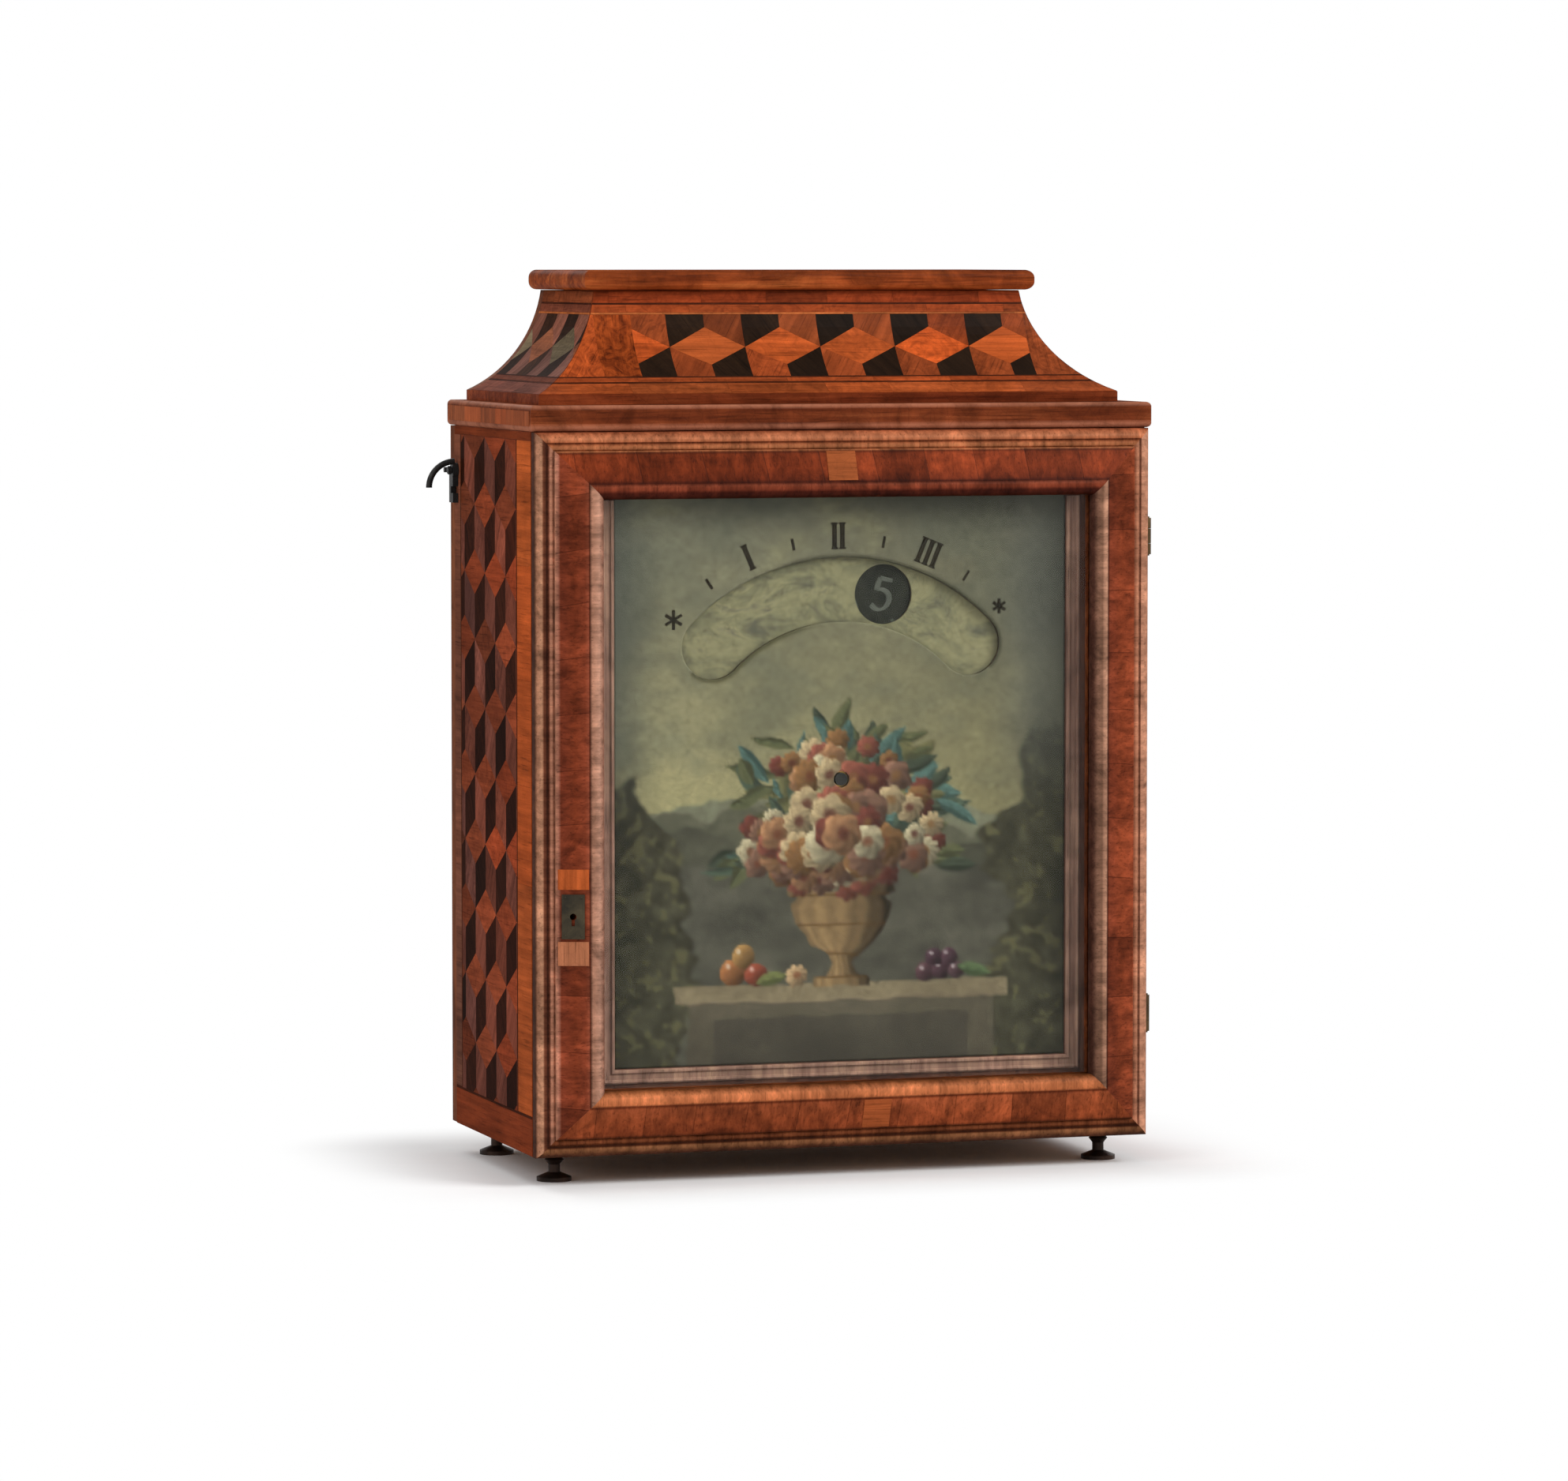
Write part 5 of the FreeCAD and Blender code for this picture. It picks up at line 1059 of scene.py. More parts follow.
door_inlay()


# Dial: a painted skin of flowers in an urn before an evening landscape
DIAL_LOW, DIAL_HIGH = span("dial_plate")
DIAL_AXIS = 216.5
SLOT_RADIUS = 103.5
SLOT_HALF_WIDTH = 17.5
SLOT_START = math.radians(45)
SLOT_END = math.radians(135)
ARBOR_HOLE = 4.5
GRID = 1.15
DIAL_HALF = 129
DIAL_MARGIN = 0.2
SKIN = 0.12
SKIN_SUNK = 0.05


def ramped(values, low, high):
    """Smooth step of an array from 0 at low to 1 at high."""
    share = np.clip((values - low) / (high - low), 0, 1)
    return share * share * (3 - 2 * share)


CLOUD_TABLE = 128


def cloudy(x, z, size, seed, octaves=4):
    """Soft random values from 0 to 1 over the plane, in patches of about that size."""
    table = np.random.default_rng(seed).random((CLOUD_TABLE, CLOUD_TABLE))
    total = np.zeros_like(x)
    weight = 0.0
    share = 1.0
    for octave in range(octaves):
        u = x / size * 2**octave + 17.3 * octave + 40
        v = z / size * 2**octave + 9.1 * octave + 40
        column, row = np.floor(u).astype(int), np.floor(v).astype(int)
        across, upward = ramped(u - column, 0, 1), ramped(v - row, 0, 1)
        lower, upper = (
            table[column % CLOUD_TABLE, level % CLOUD_TABLE] * (1 - across)
            + table[(column + 1) % CLOUD_TABLE, level % CLOUD_TABLE] * across
            for level in (row, row + 1)
        )
        total += share * (lower * (1 - upward) + upper * upward)
        weight += share
        share *= 0.55
    return total / weight


def lit(colour, light):
    """A display colour for each point, made lighter or darker by an array."""
    return np.asarray(colour, float) * light[:, None]


class Canvas:
    """Colours and relief of the painting at points x, z, in display values and millimetres."""

    def __init__(self, x, z):
        self.x = x
        self.z = z
        self.colour = np.zeros((len(x), 3))
        self.relief = np.zeros(len(x))

    def lay(self, mask, colour, relief=0.0):
        """Paints a colour, or one colour for each point, where the mask is above 0."""
        cover = mask[:, None]
        self.colour = self.colour * (1 - cover) + np.asarray(colour, float) * cover
        self.relief = self.relief * (1 - mask * 0.6) + mask * relief

    def blossom(self, x, z, radius, petals, core, count, turn):
        """A full round flower seen from the front, lit from the upper left."""
        across, upward = self.x - x, self.z - z
        away = np.hypot(across, upward) / radius
        angle = np.arctan2(upward, across) + turn
        lobes = 0.84 + 0.16 * np.abs(np.cos(angle * count / 2))
        mask = ramped(lobes - away, 0, 1.2 / radius)
        folds = 0.5 + 0.5 * np.cos(angle * count + away * 9 + turn)
        light = 0.72 + 0.34 * (upward - across) / (1.4 * radius) + 0.2 * folds * away
        shade = lit(petals, np.clip(light, 0.35, 1.2))
        heart = (1 - ramped(away, 0.12, 0.42))[:, None]
        shade = shade * (1 - heart * 0.75) + np.asarray(core, float) * heart * 0.75
        self.lay(mask, shade, 0.12)

    def leaf(self, x, z, length, width, turn, colour):
        """A pointed leaf with a lighter midrib."""
        across, upward = self.x - x, self.z - z
        along = (across * math.cos(turn) + upward * math.sin(turn)) / length
        aside = (upward * math.cos(turn) - across * math.sin(turn)) / width
        body = np.clip(1 - along**2, 0, 1) - np.abs(aside)
        mask = ramped(body, 0, 0.25)
        light = 0.8 + 0.35 * ramped(aside, -0.5, 0.6) + 0.3 * (1 - ramped(np.abs(aside), 0, 0.12))
        self.lay(mask, lit(colour, light), 0.06)

    def fruit(self, x, z, radius, colour):
        """A round fruit with soft shading and a small light."""
        across, upward = (self.x - x) / radius, (self.z - z) / radius
        away = np.hypot(across, upward)
        mask = ramped(1 - away, 0, 1.2 / radius)
        light = np.clip(0.78 + 0.3 * (upward - across), 0.3, 1.25)
        shade = lit(colour, light)
        spark = (1 - ramped(np.hypot(across + 0.35, upward - 0.4), 0.05, 0.3))[:, None]
        self.lay(mask, shade * (1 - spark * 0.5) + 225 * spark * 0.5, 0.1)


def paint_landscape(canvas):
    """Evening sky, far hills, dark trees at both sides and a shaded ground."""
    x, z = canvas.x, canvas.z
    height = (z - DIAL_LOW.z) / (DIAL_HIGH.z - DIAL_LOW.z)
    sky = ramped(height, 0.3, 1.0)
    canvas.colour = lit((128, 121, 90), 1 - sky) + lit((92, 90, 77), sky)
    canvas.colour *= (1 - 0.15 * x / DIAL_HALF)[:, None]
    veil = cloudy(x, z * 1.8, 60, 3, 5)
    canvas.lay(ramped(veil, 0.5, 0.72) * 0.5, (138, 132, 100), 0.03)
    canvas.lay(ramped(1 - veil, 0.5, 0.72) * 0.4, (80, 82, 72))
    for seed, level, rise, colour in ((11, 206, 16, (100, 100, 84)), (12, 196, 20, (80, 79, 66)),
                                      (13, 184, 20, (66, 65, 55))):
        ridge = level + rise * (cloudy(x, 0 * x, 46, seed, 4) - 0.5) * 2
        tone = lit(colour, 0.85 + 0.3 * cloudy(x, z, 12, seed + 20, 4))
        canvas.lay(ramped(ridge - z, 0, 2.2), tone, 0.02)
    ground = 168 + 10 * cloudy(x, 0 * x, 30, 15, 3)
    tone = lit((70, 68, 60), 0.7 + 0.6 * cloudy(x, z * 2, 26, 16, 5))
    canvas.lay(ramped(ground - z, 0, 4), tone, 0.03)
    for side, reach, top, seed in ((-1, 44, 214, 31), (1, 52, 236, 32)):
        spread = 0.4 + 1.1 * cloudy(z, x * 0.2, 26, seed, 4)
        edge = DIAL_HALF - reach * spread * (0.4 + 0.6 * ramped(top - z, -10, 70))
        mass = ramped(side * x - edge, 0, 4) * ramped(top + 26 * cloudy(x, z, 18, seed + 3, 3) - z, 0, 10)
        tone = lit((58, 56, 44), 0.6 + 0.7 * cloudy(x, z, 7, seed + 5, 4))
        canvas.lay(mass, tone, 0.04)
        dabs = mass * ramped(cloudy(x, z, 5, seed + 7, 2), 0.6, 0.75) * 0.6
        canvas.lay(dabs, (92, 87, 60), 0.08)


def paint_ledge_and_urn(canvas):
    """A stone ledge with a turned urn standing on it."""
    x, z = canvas.x, canvas.z
    veins = 0.85 + 0.3 * cloudy(x, z, 14, 41, 5)
    block = ramped(88 - np.abs(x), 0, 1.5) * ramped(98 - z, 0, 1.2)
    canvas.lay(block, lit((76, 70, 59), veins), 0.04)
    panel = ramped(74 - np.abs(x), 0, 1.2) * ramped(88 - z, 0, 1.2)
    canvas.lay(panel * 0.8, lit((60, 56, 49), veins))
    slab = ramped(96 - np.abs(x), 0, 1.5) * ramped(106 - z, 0, 1.2) * ramped(z - 95, 0, 1.2)
    canvas.lay(slab, lit((108, 97, 78), veins), 0.08)
    levels = (104, 108, 110, 116, 120, 126, 138, 148, 152, 154, 158)
    widths = (17, 17, 9, 6, 8, 18, 27, 30, 26, 31, 31)
    shape = np.interp(z, levels, widths)
    across = np.clip(x / shape, -1, 1)
    inside = ramped(shape - np.abs(x), 0, 1.2) * ramped(z - 103, 0, 1) * ramped(159 - z, 0, 1)
    light = 0.42 + 0.5 * np.sqrt(1 - across**2) - 0.3 * across + 0.07 * np.cos(14 * np.arcsin(across))
    canvas.lay(inside, lit((118, 96, 68), light), 0.1)
    for level in (109, 121, 137, 153):
        line = inside * (1 - ramped(np.abs(z - level), 0.3, 1.1))
        canvas.lay(line * 0.6, (70, 48, 24))


def paint_bouquet(canvas):
    """Leaves, then blossoms from the outside in, and fruit on the ledge."""
    lots = random.Random(29)
    leaf_tones = ((58, 68, 58), (72, 74, 52), (50, 56, 46), (84, 82, 56), (62, 82, 78))
    for _ in range(120):
        angle = lots.uniform(-0.35, math.pi + 0.35)
        away = lots.uniform(0.45, 1.08)
        x, z = 64 * away * math.cos(angle), 186 + 62 * away * math.sin(angle)
        canvas.leaf(x, z, lots.uniform(9, 17), lots.uniform(3, 5.5), angle + lots.uniform(-0.8, 0.8),
                    lots.choice(leaf_tones))
    petals = ((160, 140, 110), (142, 104, 76), (126, 72, 60), (166, 154, 128), (122, 88, 56), (100, 54, 46),
              (116, 86, 72))
    cores = ((104, 74, 44), (92, 52, 36), (70, 36, 30))
    spots = []
    for _ in range(84):
        angle = lots.uniform(0, 2 * math.pi)
        away = math.sqrt(lots.uniform(0, 1))
        rise = 56 if math.sin(angle) > 0 else 26
        spots.append((away, 54 * away * math.cos(angle), 182 + rise * away * math.sin(angle)))
    for away, x, z in sorted(spots, reverse=True):
        radius = lots.uniform(5.5, 9) + 5.5 * (1 - away)
        canvas.blossom(x, z, radius, lots.choice(petals), lots.choice(cores), lots.choice((5, 6, 8, 10)),
                       lots.uniform(0, 6))
    for x, z, radius, colour in (
        (-62, 112, 8, (146, 96, 60)), (-49, 111, 7, (128, 64, 48)), (-56, 121, 7, (152, 116, 72)),
        (48, 110, 6, (78, 54, 60)), (57, 111, 6, (72, 50, 58)), (66, 110, 5.5, (82, 60, 66)),
        (53, 118, 5.5, (68, 47, 56)), (62, 118, 5.5, (78, 55, 64)),
    ):
        canvas.fruit(x, z, radius, colour)
    canvas.leaf(-40, 109, 10, 4, 0.3, (84, 88, 54))
    canvas.leaf(76, 110, 11, 4.5, -0.2, (70, 84, 58))
    canvas.blossom(-26, 110, 7, (168, 140, 108), (104, 62, 40), 8, 0.4)


def round_slot_outline():
    """The slot's outline as points in the dial's plane, x and z in millimetres."""
    points = []

    def arc(centre, radius, start, end):
        count = max(4, int(abs(end - start) * radius / GRID))
        turns = [start + (end - start) * i / count for i in range(count)]
        points.extend((centre[0] + u, centre[1] + v) for u, v in ring(radius, turns))

    axis = (0.0, DIAL_AXIS)
    first, last = ((u, DIAL_AXIS + v) for u, v in ring(SLOT_RADIUS, (SLOT_START, SLOT_END)))
    arc(axis, SLOT_RADIUS + SLOT_HALF_WIDTH, SLOT_START, SLOT_END)
    arc(last, SLOT_HALF_WIDTH, SLOT_END, SLOT_END + math.pi)
    arc(axis, SLOT_RADIUS - SLOT_HALF_WIDTH, SLOT_END, SLOT_START)
    arc(first, SLOT_HALF_WIDTH, SLOT_START - math.pi, SLOT_START)
    return points


def slot_distance(x, z):
    """Distance outside the slot's outline, below 0 within it."""
    across, upward = x, z - DIAL_AXIS
    angle = np.clip(np.arctan2(upward, across), SLOT_START, SLOT_END)
    across = across - SLOT_RADIUS * np.cos(angle)
    upward = upward - SLOT_RADIUS * np.sin(angle)
    return np.hypot(across, upward) - SLOT_HALF_WIDTH


def shade_slot(canvas):
    """Painted shadow along the slot: above it from the middle to the right, and below its left end."""
    distance = slot_distance(canvas.x, canvas.z)
    angle = np.degrees(np.arctan2(canvas.z - DIAL_AXIS, canvas.x))
    above = np.hypot(canvas.x, canvas.z - DIAL_AXIS) > SLOT_RADIUS
    upper = (1 - ramped(distance, 0.5, 2.6)) * (1 - ramped(angle, 88, 116)) * above
    lower = (1 - ramped(distance, 0.6, 3.2)) * ramped(angle, 96, 112) * ~above
    canvas.lay(upper * 0.75, (54, 52, 41))
    canvas.lay(lower * 0.75, (62, 59, 38))


def hand_drawn(x, z):
    """The same points moved a little, so that painted outlines waver as a hand's do."""
    return x + 3.0 * (cloudy(x, z, 11, 61, 3) - 0.5), z + 3.0 * (cloudy(x, z, 11, 62, 3) - 0.5)


def grid_steps(low, high):
    """Values a step of the grid apart, a little within two ends."""
    low, high = low + DIAL_MARGIN, high - DIAL_MARGIN
    return np.linspace(low, high, int((high - low) / GRID) + 1)


def dial_triangles():
    """Points x, z of the dial's face and its triangles, open at the slot and the arbor's hole."""
    across, upward = grid_steps(DIAL_LOW.x, DIAL_HIGH.x), grid_steps(DIAL_LOW.z, DIAL_HIGH.z)
    x, z = (values.ravel() for values in np.meshgrid(across, upward))
    near = GRID * 0.45
    clear = (slot_distance(x, z) > near) & (np.hypot(x, z - DIAL_AXIS) - ARBOR_HOLE > near)
    points = list(zip(x[clear], z[clear]))
    edges = []
    hole = [(u, DIAL_AXIS + v) for u, v in ring(ARBOR_HOLE, [i * math.pi / 14 for i in range(28)])]
    for loop in (round_slot_outline(), hole):
        first = len(points)
        points += loop
        edges += [(first + i, first + (i + 1) % len(loop)) for i in range(len(loop))]
    found, _, faces, _, _, _ = delaunay_2d_cdt([Vector(p) for p in points], edges, [], 0, 1e-6)
    flat = np.array([(p.x, p.y) for p in found])
    corners = np.array(faces)
    x, z = flat[corners].mean(axis=1).T
    kept = (slot_distance(x, z) > 0) & (np.hypot(x, z - DIAL_AXIS) > ARBOR_HOLE * 0.98)
    return flat, [tuple(face) if facing_front(flat[face]) else tuple(face[::-1]) for face in corners[kept]]


def facing_front(corners):
    """Whether a triangle's corners turn so that it faces the front, towards lower y."""
    (a, b), (c, d), (e, f) = corners
    return (c - a) * (f - b) - (e - a) * (d - b) > 0


def painted_canvas(flat):
    """The finished painting at points of the dial's face, and its relief in millimetres."""
    canvas = Canvas(*hand_drawn(flat[:, 0], flat[:, 1]))
    paint_landscape(canvas)
    paint_ledge_and_urn(canvas)
    paint_bouquet(canvas)
    x, z = flat.T
    canvas.x, canvas.z = x, z
    edge = np.minimum(DIAL_HALF - np.abs(x), np.minimum(z - DIAL_LOW.z, DIAL_HIGH.z - z))
    cool = ramped(np.abs(x + 10), 88, 126) * ramped(z, 180, 260)
    canvas.lay(cool * 0.6 * (x < 0), (92, 97, 94))
    canvas.lay(cool * 0.75 * (x > 0), (82, 83, 78))
    canvas.colour *= (1.1 - 0.1 * ramped(z, 70, 120))[:, None]
    # Painted shade: the painting up to a sixth darker within 34 mm of the dial's edges
    canvas.colour *= (0.84 + 0.16 * ramped(edge, 0, 34))[:, None]
    shade_slot(canvas)
    canvas.colour *= (0.93 + 0.14 * cloudy(x, z, 3, 77, 2))[:, None]
    rim = ramped(edge, 0, 3) * ramped(slot_distance(x, z), 0, 3)
    return canvas.colour, rim * (canvas.relief + 0.05 * cloudy(x, z, 4, 78, 3))


def dial_painting():
    """The painted skin on the dial plate, with a turned-in edge."""
    flat, triangles = dial_triangles()
    colour, relief = painted_canvas(flat)
    vertices = np.stack((flat[:, 0], DIAL_LOW.y - SKIN - relief, flat[:, 1]), axis=1)
    sides = {(f[i - 1], f[i]) for f in triangles for i in range(3)}
    rims = [(a, b) for a, b in sides if (b, a) not in sides]
    outer = sorted({i for pair in rims for i in pair})
    back = {index: len(vertices) + place for place, index in enumerate(outer)}
    behind = [(vertices[i][0], DIAL_LOW.y + SKIN_SUNK, vertices[i][2]) for i in outer]
    points = np.vstack((vertices, behind))
    faces = triangles + [(a, back[a], back[b], b) for a, b in rims]
    piece = new_piece("dial_painting", points, faces, DIAL_PAINT, "case", True)
    full = np.ones((len(points), 4))
    full[:, :3] = linear(np.clip(np.vstack((colour, colour[outer])), 0, 255))
    keep_on_points(piece.data, "paint", "FLOAT_COLOR", "color", full)


dial_painting()


# A thin slip moulding beside and below the dial
SLIP_PROFILE = (
    (0.3, -0.05), (0.3, 1.1), (1.0, 1.9), (2.0, 1.9), (2.7, 1.0), (3.3, 0.8), (5.6, 0.8), (6.0, 1.3),
    (7.0, 1.7), (7.9, 1.2), (8.2, -0.05),
)
SLIP_PLAY = 1.0


def dial_slip():
    """Two uprights and a foot of moulding, mitred where they meet, on the frame that holds the dial."""
    face = span("dial_frame")[0].y
    top = span("door_rail_top")[0].z - SLIP_PLAY
    points = []
    for side, at_top in ((-1, True), (-1, False), (1, False), (1, True)):
        for outward, forward in SLIP_PROFILE:
            z = top if at_top else DIAL_LOW.z - outward
            points.append((side * (DIAL_HIGH.x + outward), face - forward, z))
    count = len(SLIP_PROFILE)
    faces = []
    for start in range(0, 3 * count, count):
        for i in range(count):
            here, there = start + i, start + (i + 1) % count
            faces.append((here, there, there + count, here + count))
    faces.append(tuple(range(count)))
    faces.append(tuple(range(4 * count - 1, 3 * count - 1, -1)))
    faced_outward(new_piece("dial_slip", points, faces, SLIP_WOOD, "case"))


dial_slip()


# Numbers and quarter marks, drawn with a broad pen
DIGITS = {
    "0": [[(0.3, 1.0), (0.1, 0.82), (0.05, 0.5), (0.1, 0.18), (0.3, 0.0), (0.5, 0.18), (0.55, 0.5),
           (0.5, 0.82), (0.3, 1.0)]],
    "1": [[(0.14, 0.8), (0.26, 0.88), (0.33, 1.0)], [(0.33, 1.0), (0.32, 0.5), (0.33, 0.0)],
          [(0.16, 0.01), (0.33, 0.03), (0.5, 0.01)]],
    "2": [[(0.06, 0.74), (0.12, 0.93), (0.3, 1.0), (0.5, 0.92), (0.54, 0.72), (0.4, 0.45), (0.18, 0.2),
           (0.04, 0.02)],
          [(0.04, 0.02), (0.3, 0.05), (0.6, 0.03)]],
    "3": [[(0.06, 0.86), (0.25, 1.0), (0.48, 0.93), (0.5, 0.72), (0.36, 0.56), (0.22, 0.53)],
          [(0.22, 0.53), (0.46, 0.47), (0.57, 0.28), (0.47, 0.07), (0.25, 0.0), (0.04, 0.1)]],
    "4": [[(0.42, 1.0), (0.2, 0.64), (0.03, 0.32)], [(0.03, 0.32), (0.3, 0.33), (0.6, 0.32)],
          [(0.43, 0.62), (0.42, 0.3), (0.43, 0.0)]],
    "5": [[(0.54, 0.98), (0.34, 0.97), (0.14, 0.98)], [(0.14, 0.98), (0.11, 0.8), (0.1, 0.57)],
          [(0.1, 0.57), (0.3, 0.64), (0.53, 0.52), (0.57, 0.28), (0.45, 0.06), (0.22, 0.0), (0.03, 0.1)]],
    "6": [[(0.5, 0.96), (0.28, 0.86), (0.1, 0.56), (0.07, 0.26), (0.24, 0.02), (0.47, 0.05), (0.57, 0.28),
           (0.46, 0.5), (0.27, 0.53), (0.1, 0.36)]],
    "7": [[(0.03, 0.95), (0.3, 0.97), (0.58, 0.97)], [(0.58, 0.97), (0.38, 0.55), (0.24, 0.0)]],
    "8": [[(0.3, 0.53), (0.1, 0.68), (0.14, 0.92), (0.32, 1.0), (0.5, 0.9), (0.5, 0.7), (0.3, 0.53),
           (0.08, 0.33), (0.1, 0.08), (0.3, 0.0), (0.52, 0.08), (0.54, 0.33), (0.3, 0.53)]],
    "9": [[(0.1, 0.04), (0.32, 0.14), (0.5, 0.44), (0.53, 0.74), (0.36, 0.98), (0.13, 0.95), (0.03, 0.72),
           (0.14, 0.5), (0.33, 0.47), (0.5, 0.64)]],
}


def smooth_line(knots, steps=7):
    """Points on a smooth line through the knots."""
    ends = [knots[0]] + list(knots) + [knots[-1]]
    line = []
    for p0, p1, p2, p3 in zip(ends, ends[1:], ends[2:], ends[3:]):
        for i in range(steps):
            t = i / steps
            line.append(tuple(
                0.5 * (2 * b + (c - a) * t + (2 * a - 5 * b + 4 * c - d) * t * t
                       + (3 * b - a - 3 * c + d) * t**3)
                for a, b, c, d in zip(p0, p1, p2, p3)))
    return line + [knots[-1]]


class Pen:
    """Raised strokes of paint on a plane, given by a function from flat points to places in millimetres."""

    def __init__(self, lay):
        self.lay = lay
        self.points = []
        self.faces = []

    def stroke(self, line, thick, thin, nib=math.radians(28), height=0.12):
        """A stroke along a line, whose width follows its direction as a broad pen's does."""
        first = len(self.points)
        for i, (a, b) in enumerate(line):
            before, after = line[max(i - 1, 0)], line[min(i + 1, len(line) - 1)]
            angle = math.atan2(after[1] - before[1], after[0] - before[0])
            half = (thin + (thick - thin) * abs(math.sin(angle - nib))) / 2
            aside = (-math.sin(angle) * half, math.cos(angle) * half)
            for side, level in ((1, 0.0), (0.7, height), (-0.7, height), (-1, 0.0)):
                self.points.append(self.lay(a + aside[0] * side, b + aside[1] * side, level))
        for i in range(len(line) - 1):
            row, following = first + 4 * i, first + 4 * i + 4
            for k in range(3):
                self.faces.append((row + k, row + k + 1, following + k + 1, following + k))
            self.faces.append((row + 3, row, following, following + 3))
        last = first + 4 * (len(line) - 1)
        self.faces.append((first + 3, first + 2, first + 1, first))
        self.faces.append((last, last + 1, last + 2, last + 3))

    def build(self, name, material, body, slot):
        faced_outward(new_piece(name, self.points, self.faces, material, body))


HOURS = ((5, 9, 1), (6, 10, 2), (7, 11, 3), (8, 12, 4))
NUMERAL_RADIUS = 20.0
NUMERAL_HEIGHT = 17.5
DIGIT_WIDTH = 0.62
PAIR_WIDTH = 0.5
PITCH_RADIUS = 83.5
WINDOW_ANGLE = 76.0


def on_disc(centre, outward, front):
    """Places on an hour disc for a number whose upper end points outward."""
    sine, cosine = math.sin(outward), math.cos(outward)

    def lay(a, b, level):
        away = NUMERAL_RADIUS + b
        return centre[0] + away * cosine + a * sine, front - level, centre[1] + away * sine - a * cosine
    return lay


def hour_numerals():
    """Six painted numbers on each hour disc, upright when they pass the top of the slot."""
    for index, hours in enumerate(HOURS):
        disc = f"hour_disc_{index + 1}"
        direction = math.radians(WINDOW_ANGLE + 90 * index)
        centre = (PITCH_RADIUS * math.cos(direction), DIAL_AXIS + PITCH_RADIUS * math.sin(direction))
        pen = Pen(None)
        for place, hour in enumerate(hours * 2):
            pen.lay = on_disc(centre, direction + place * math.pi / 3, span(disc)[0].y)
            digits = str(hour)
            wide = NUMERAL_HEIGHT * (DIGIT_WIDTH if len(digits) == 1 else PAIR_WIDTH)
            start = -wide * len(digits) / 2
            for digit in digits:
                for knots in DIGITS[digit]:
                    pen.stroke(smooth_line([
                        (start + k * wide / DIGIT_WIDTH, (h - 0.5) * NUMERAL_HEIGHT) for k, h in knots
                    ]), 3.3, 1.4)
                start += wide
        pen.build(f"hour_numerals_{index + 1}", NUMERAL_PAINT, disc + "_body", "painted_copper")


MARK_LIFT = 0.24
MARK_HEIGHT = 0.08
MARK_FOOT = 126.0
MARK_HEAD = 139.5
MARK_STEP = 4.5
SERIF = 2.0
STAR_RADIUS = 130.0


def quarter_marks():
    """Marks above the slot: I, II and III at the quarters, ticks between them and a star at each end."""
    pen = Pen(lambda a, b, level: (a, DIAL_LOW.y - MARK_LIFT - level, b))

    def spot(angle, away, aside=0.0):
        cosine, sine = math.cos(math.radians(angle)), math.sin(math.radians(angle))
        return away * cosine - aside * sine, DIAL_AXIS + away * sine + aside * cosine

    def radial(angle, inner, outer, aside, thick):
        line = [spot(angle, inner + (outer - inner) * i / 4, aside) for i in range(5)]
        pen.stroke(line, thick, thick * 0.8, height=MARK_HEIGHT)

    for angle, count in ((113.6, 1), (90.8, 2), (67.9, 3)):
        for i in range(count):
            aside = (i - (count - 1) / 2) * MARK_STEP
            radial(angle, MARK_FOOT, MARK_HEAD, aside, 2.9)
            for end in (MARK_FOOT, MARK_HEAD):
                bar = [spot(angle, end, aside - k) for k in (-SERIF, 0, SERIF)]
                pen.stroke(bar, 1.1, 1.1, height=MARK_HEIGHT)
    for angle in (102.2, 79.4, 57.0, 125.0):
        radial(angle, 128.0, 134.5, 0.0, 1.7)
    for angle, reach in ((137.2, 5.4), (45.8, 4.2)):
        x, z = spot(angle, STAR_RADIUS)
        for turn in (90, 150, 210):
            ray = math.radians(turn)
            across, upward = reach * math.cos(ray), reach * math.sin(ray)
            line = [(x + k * across, z + k * upward) for k in (-1.0, -0.3, 0.3, 1.0)]
            pen.stroke(line, 1.9, 1.6, height=MARK_HEIGHT)
    pen.build("quarter_marks", MARK_PAINT, "case", "painted_copper")


hour_numerals()
quarter_marks()


# Screws, nails and pins
HEAD_SUNK = -0.2


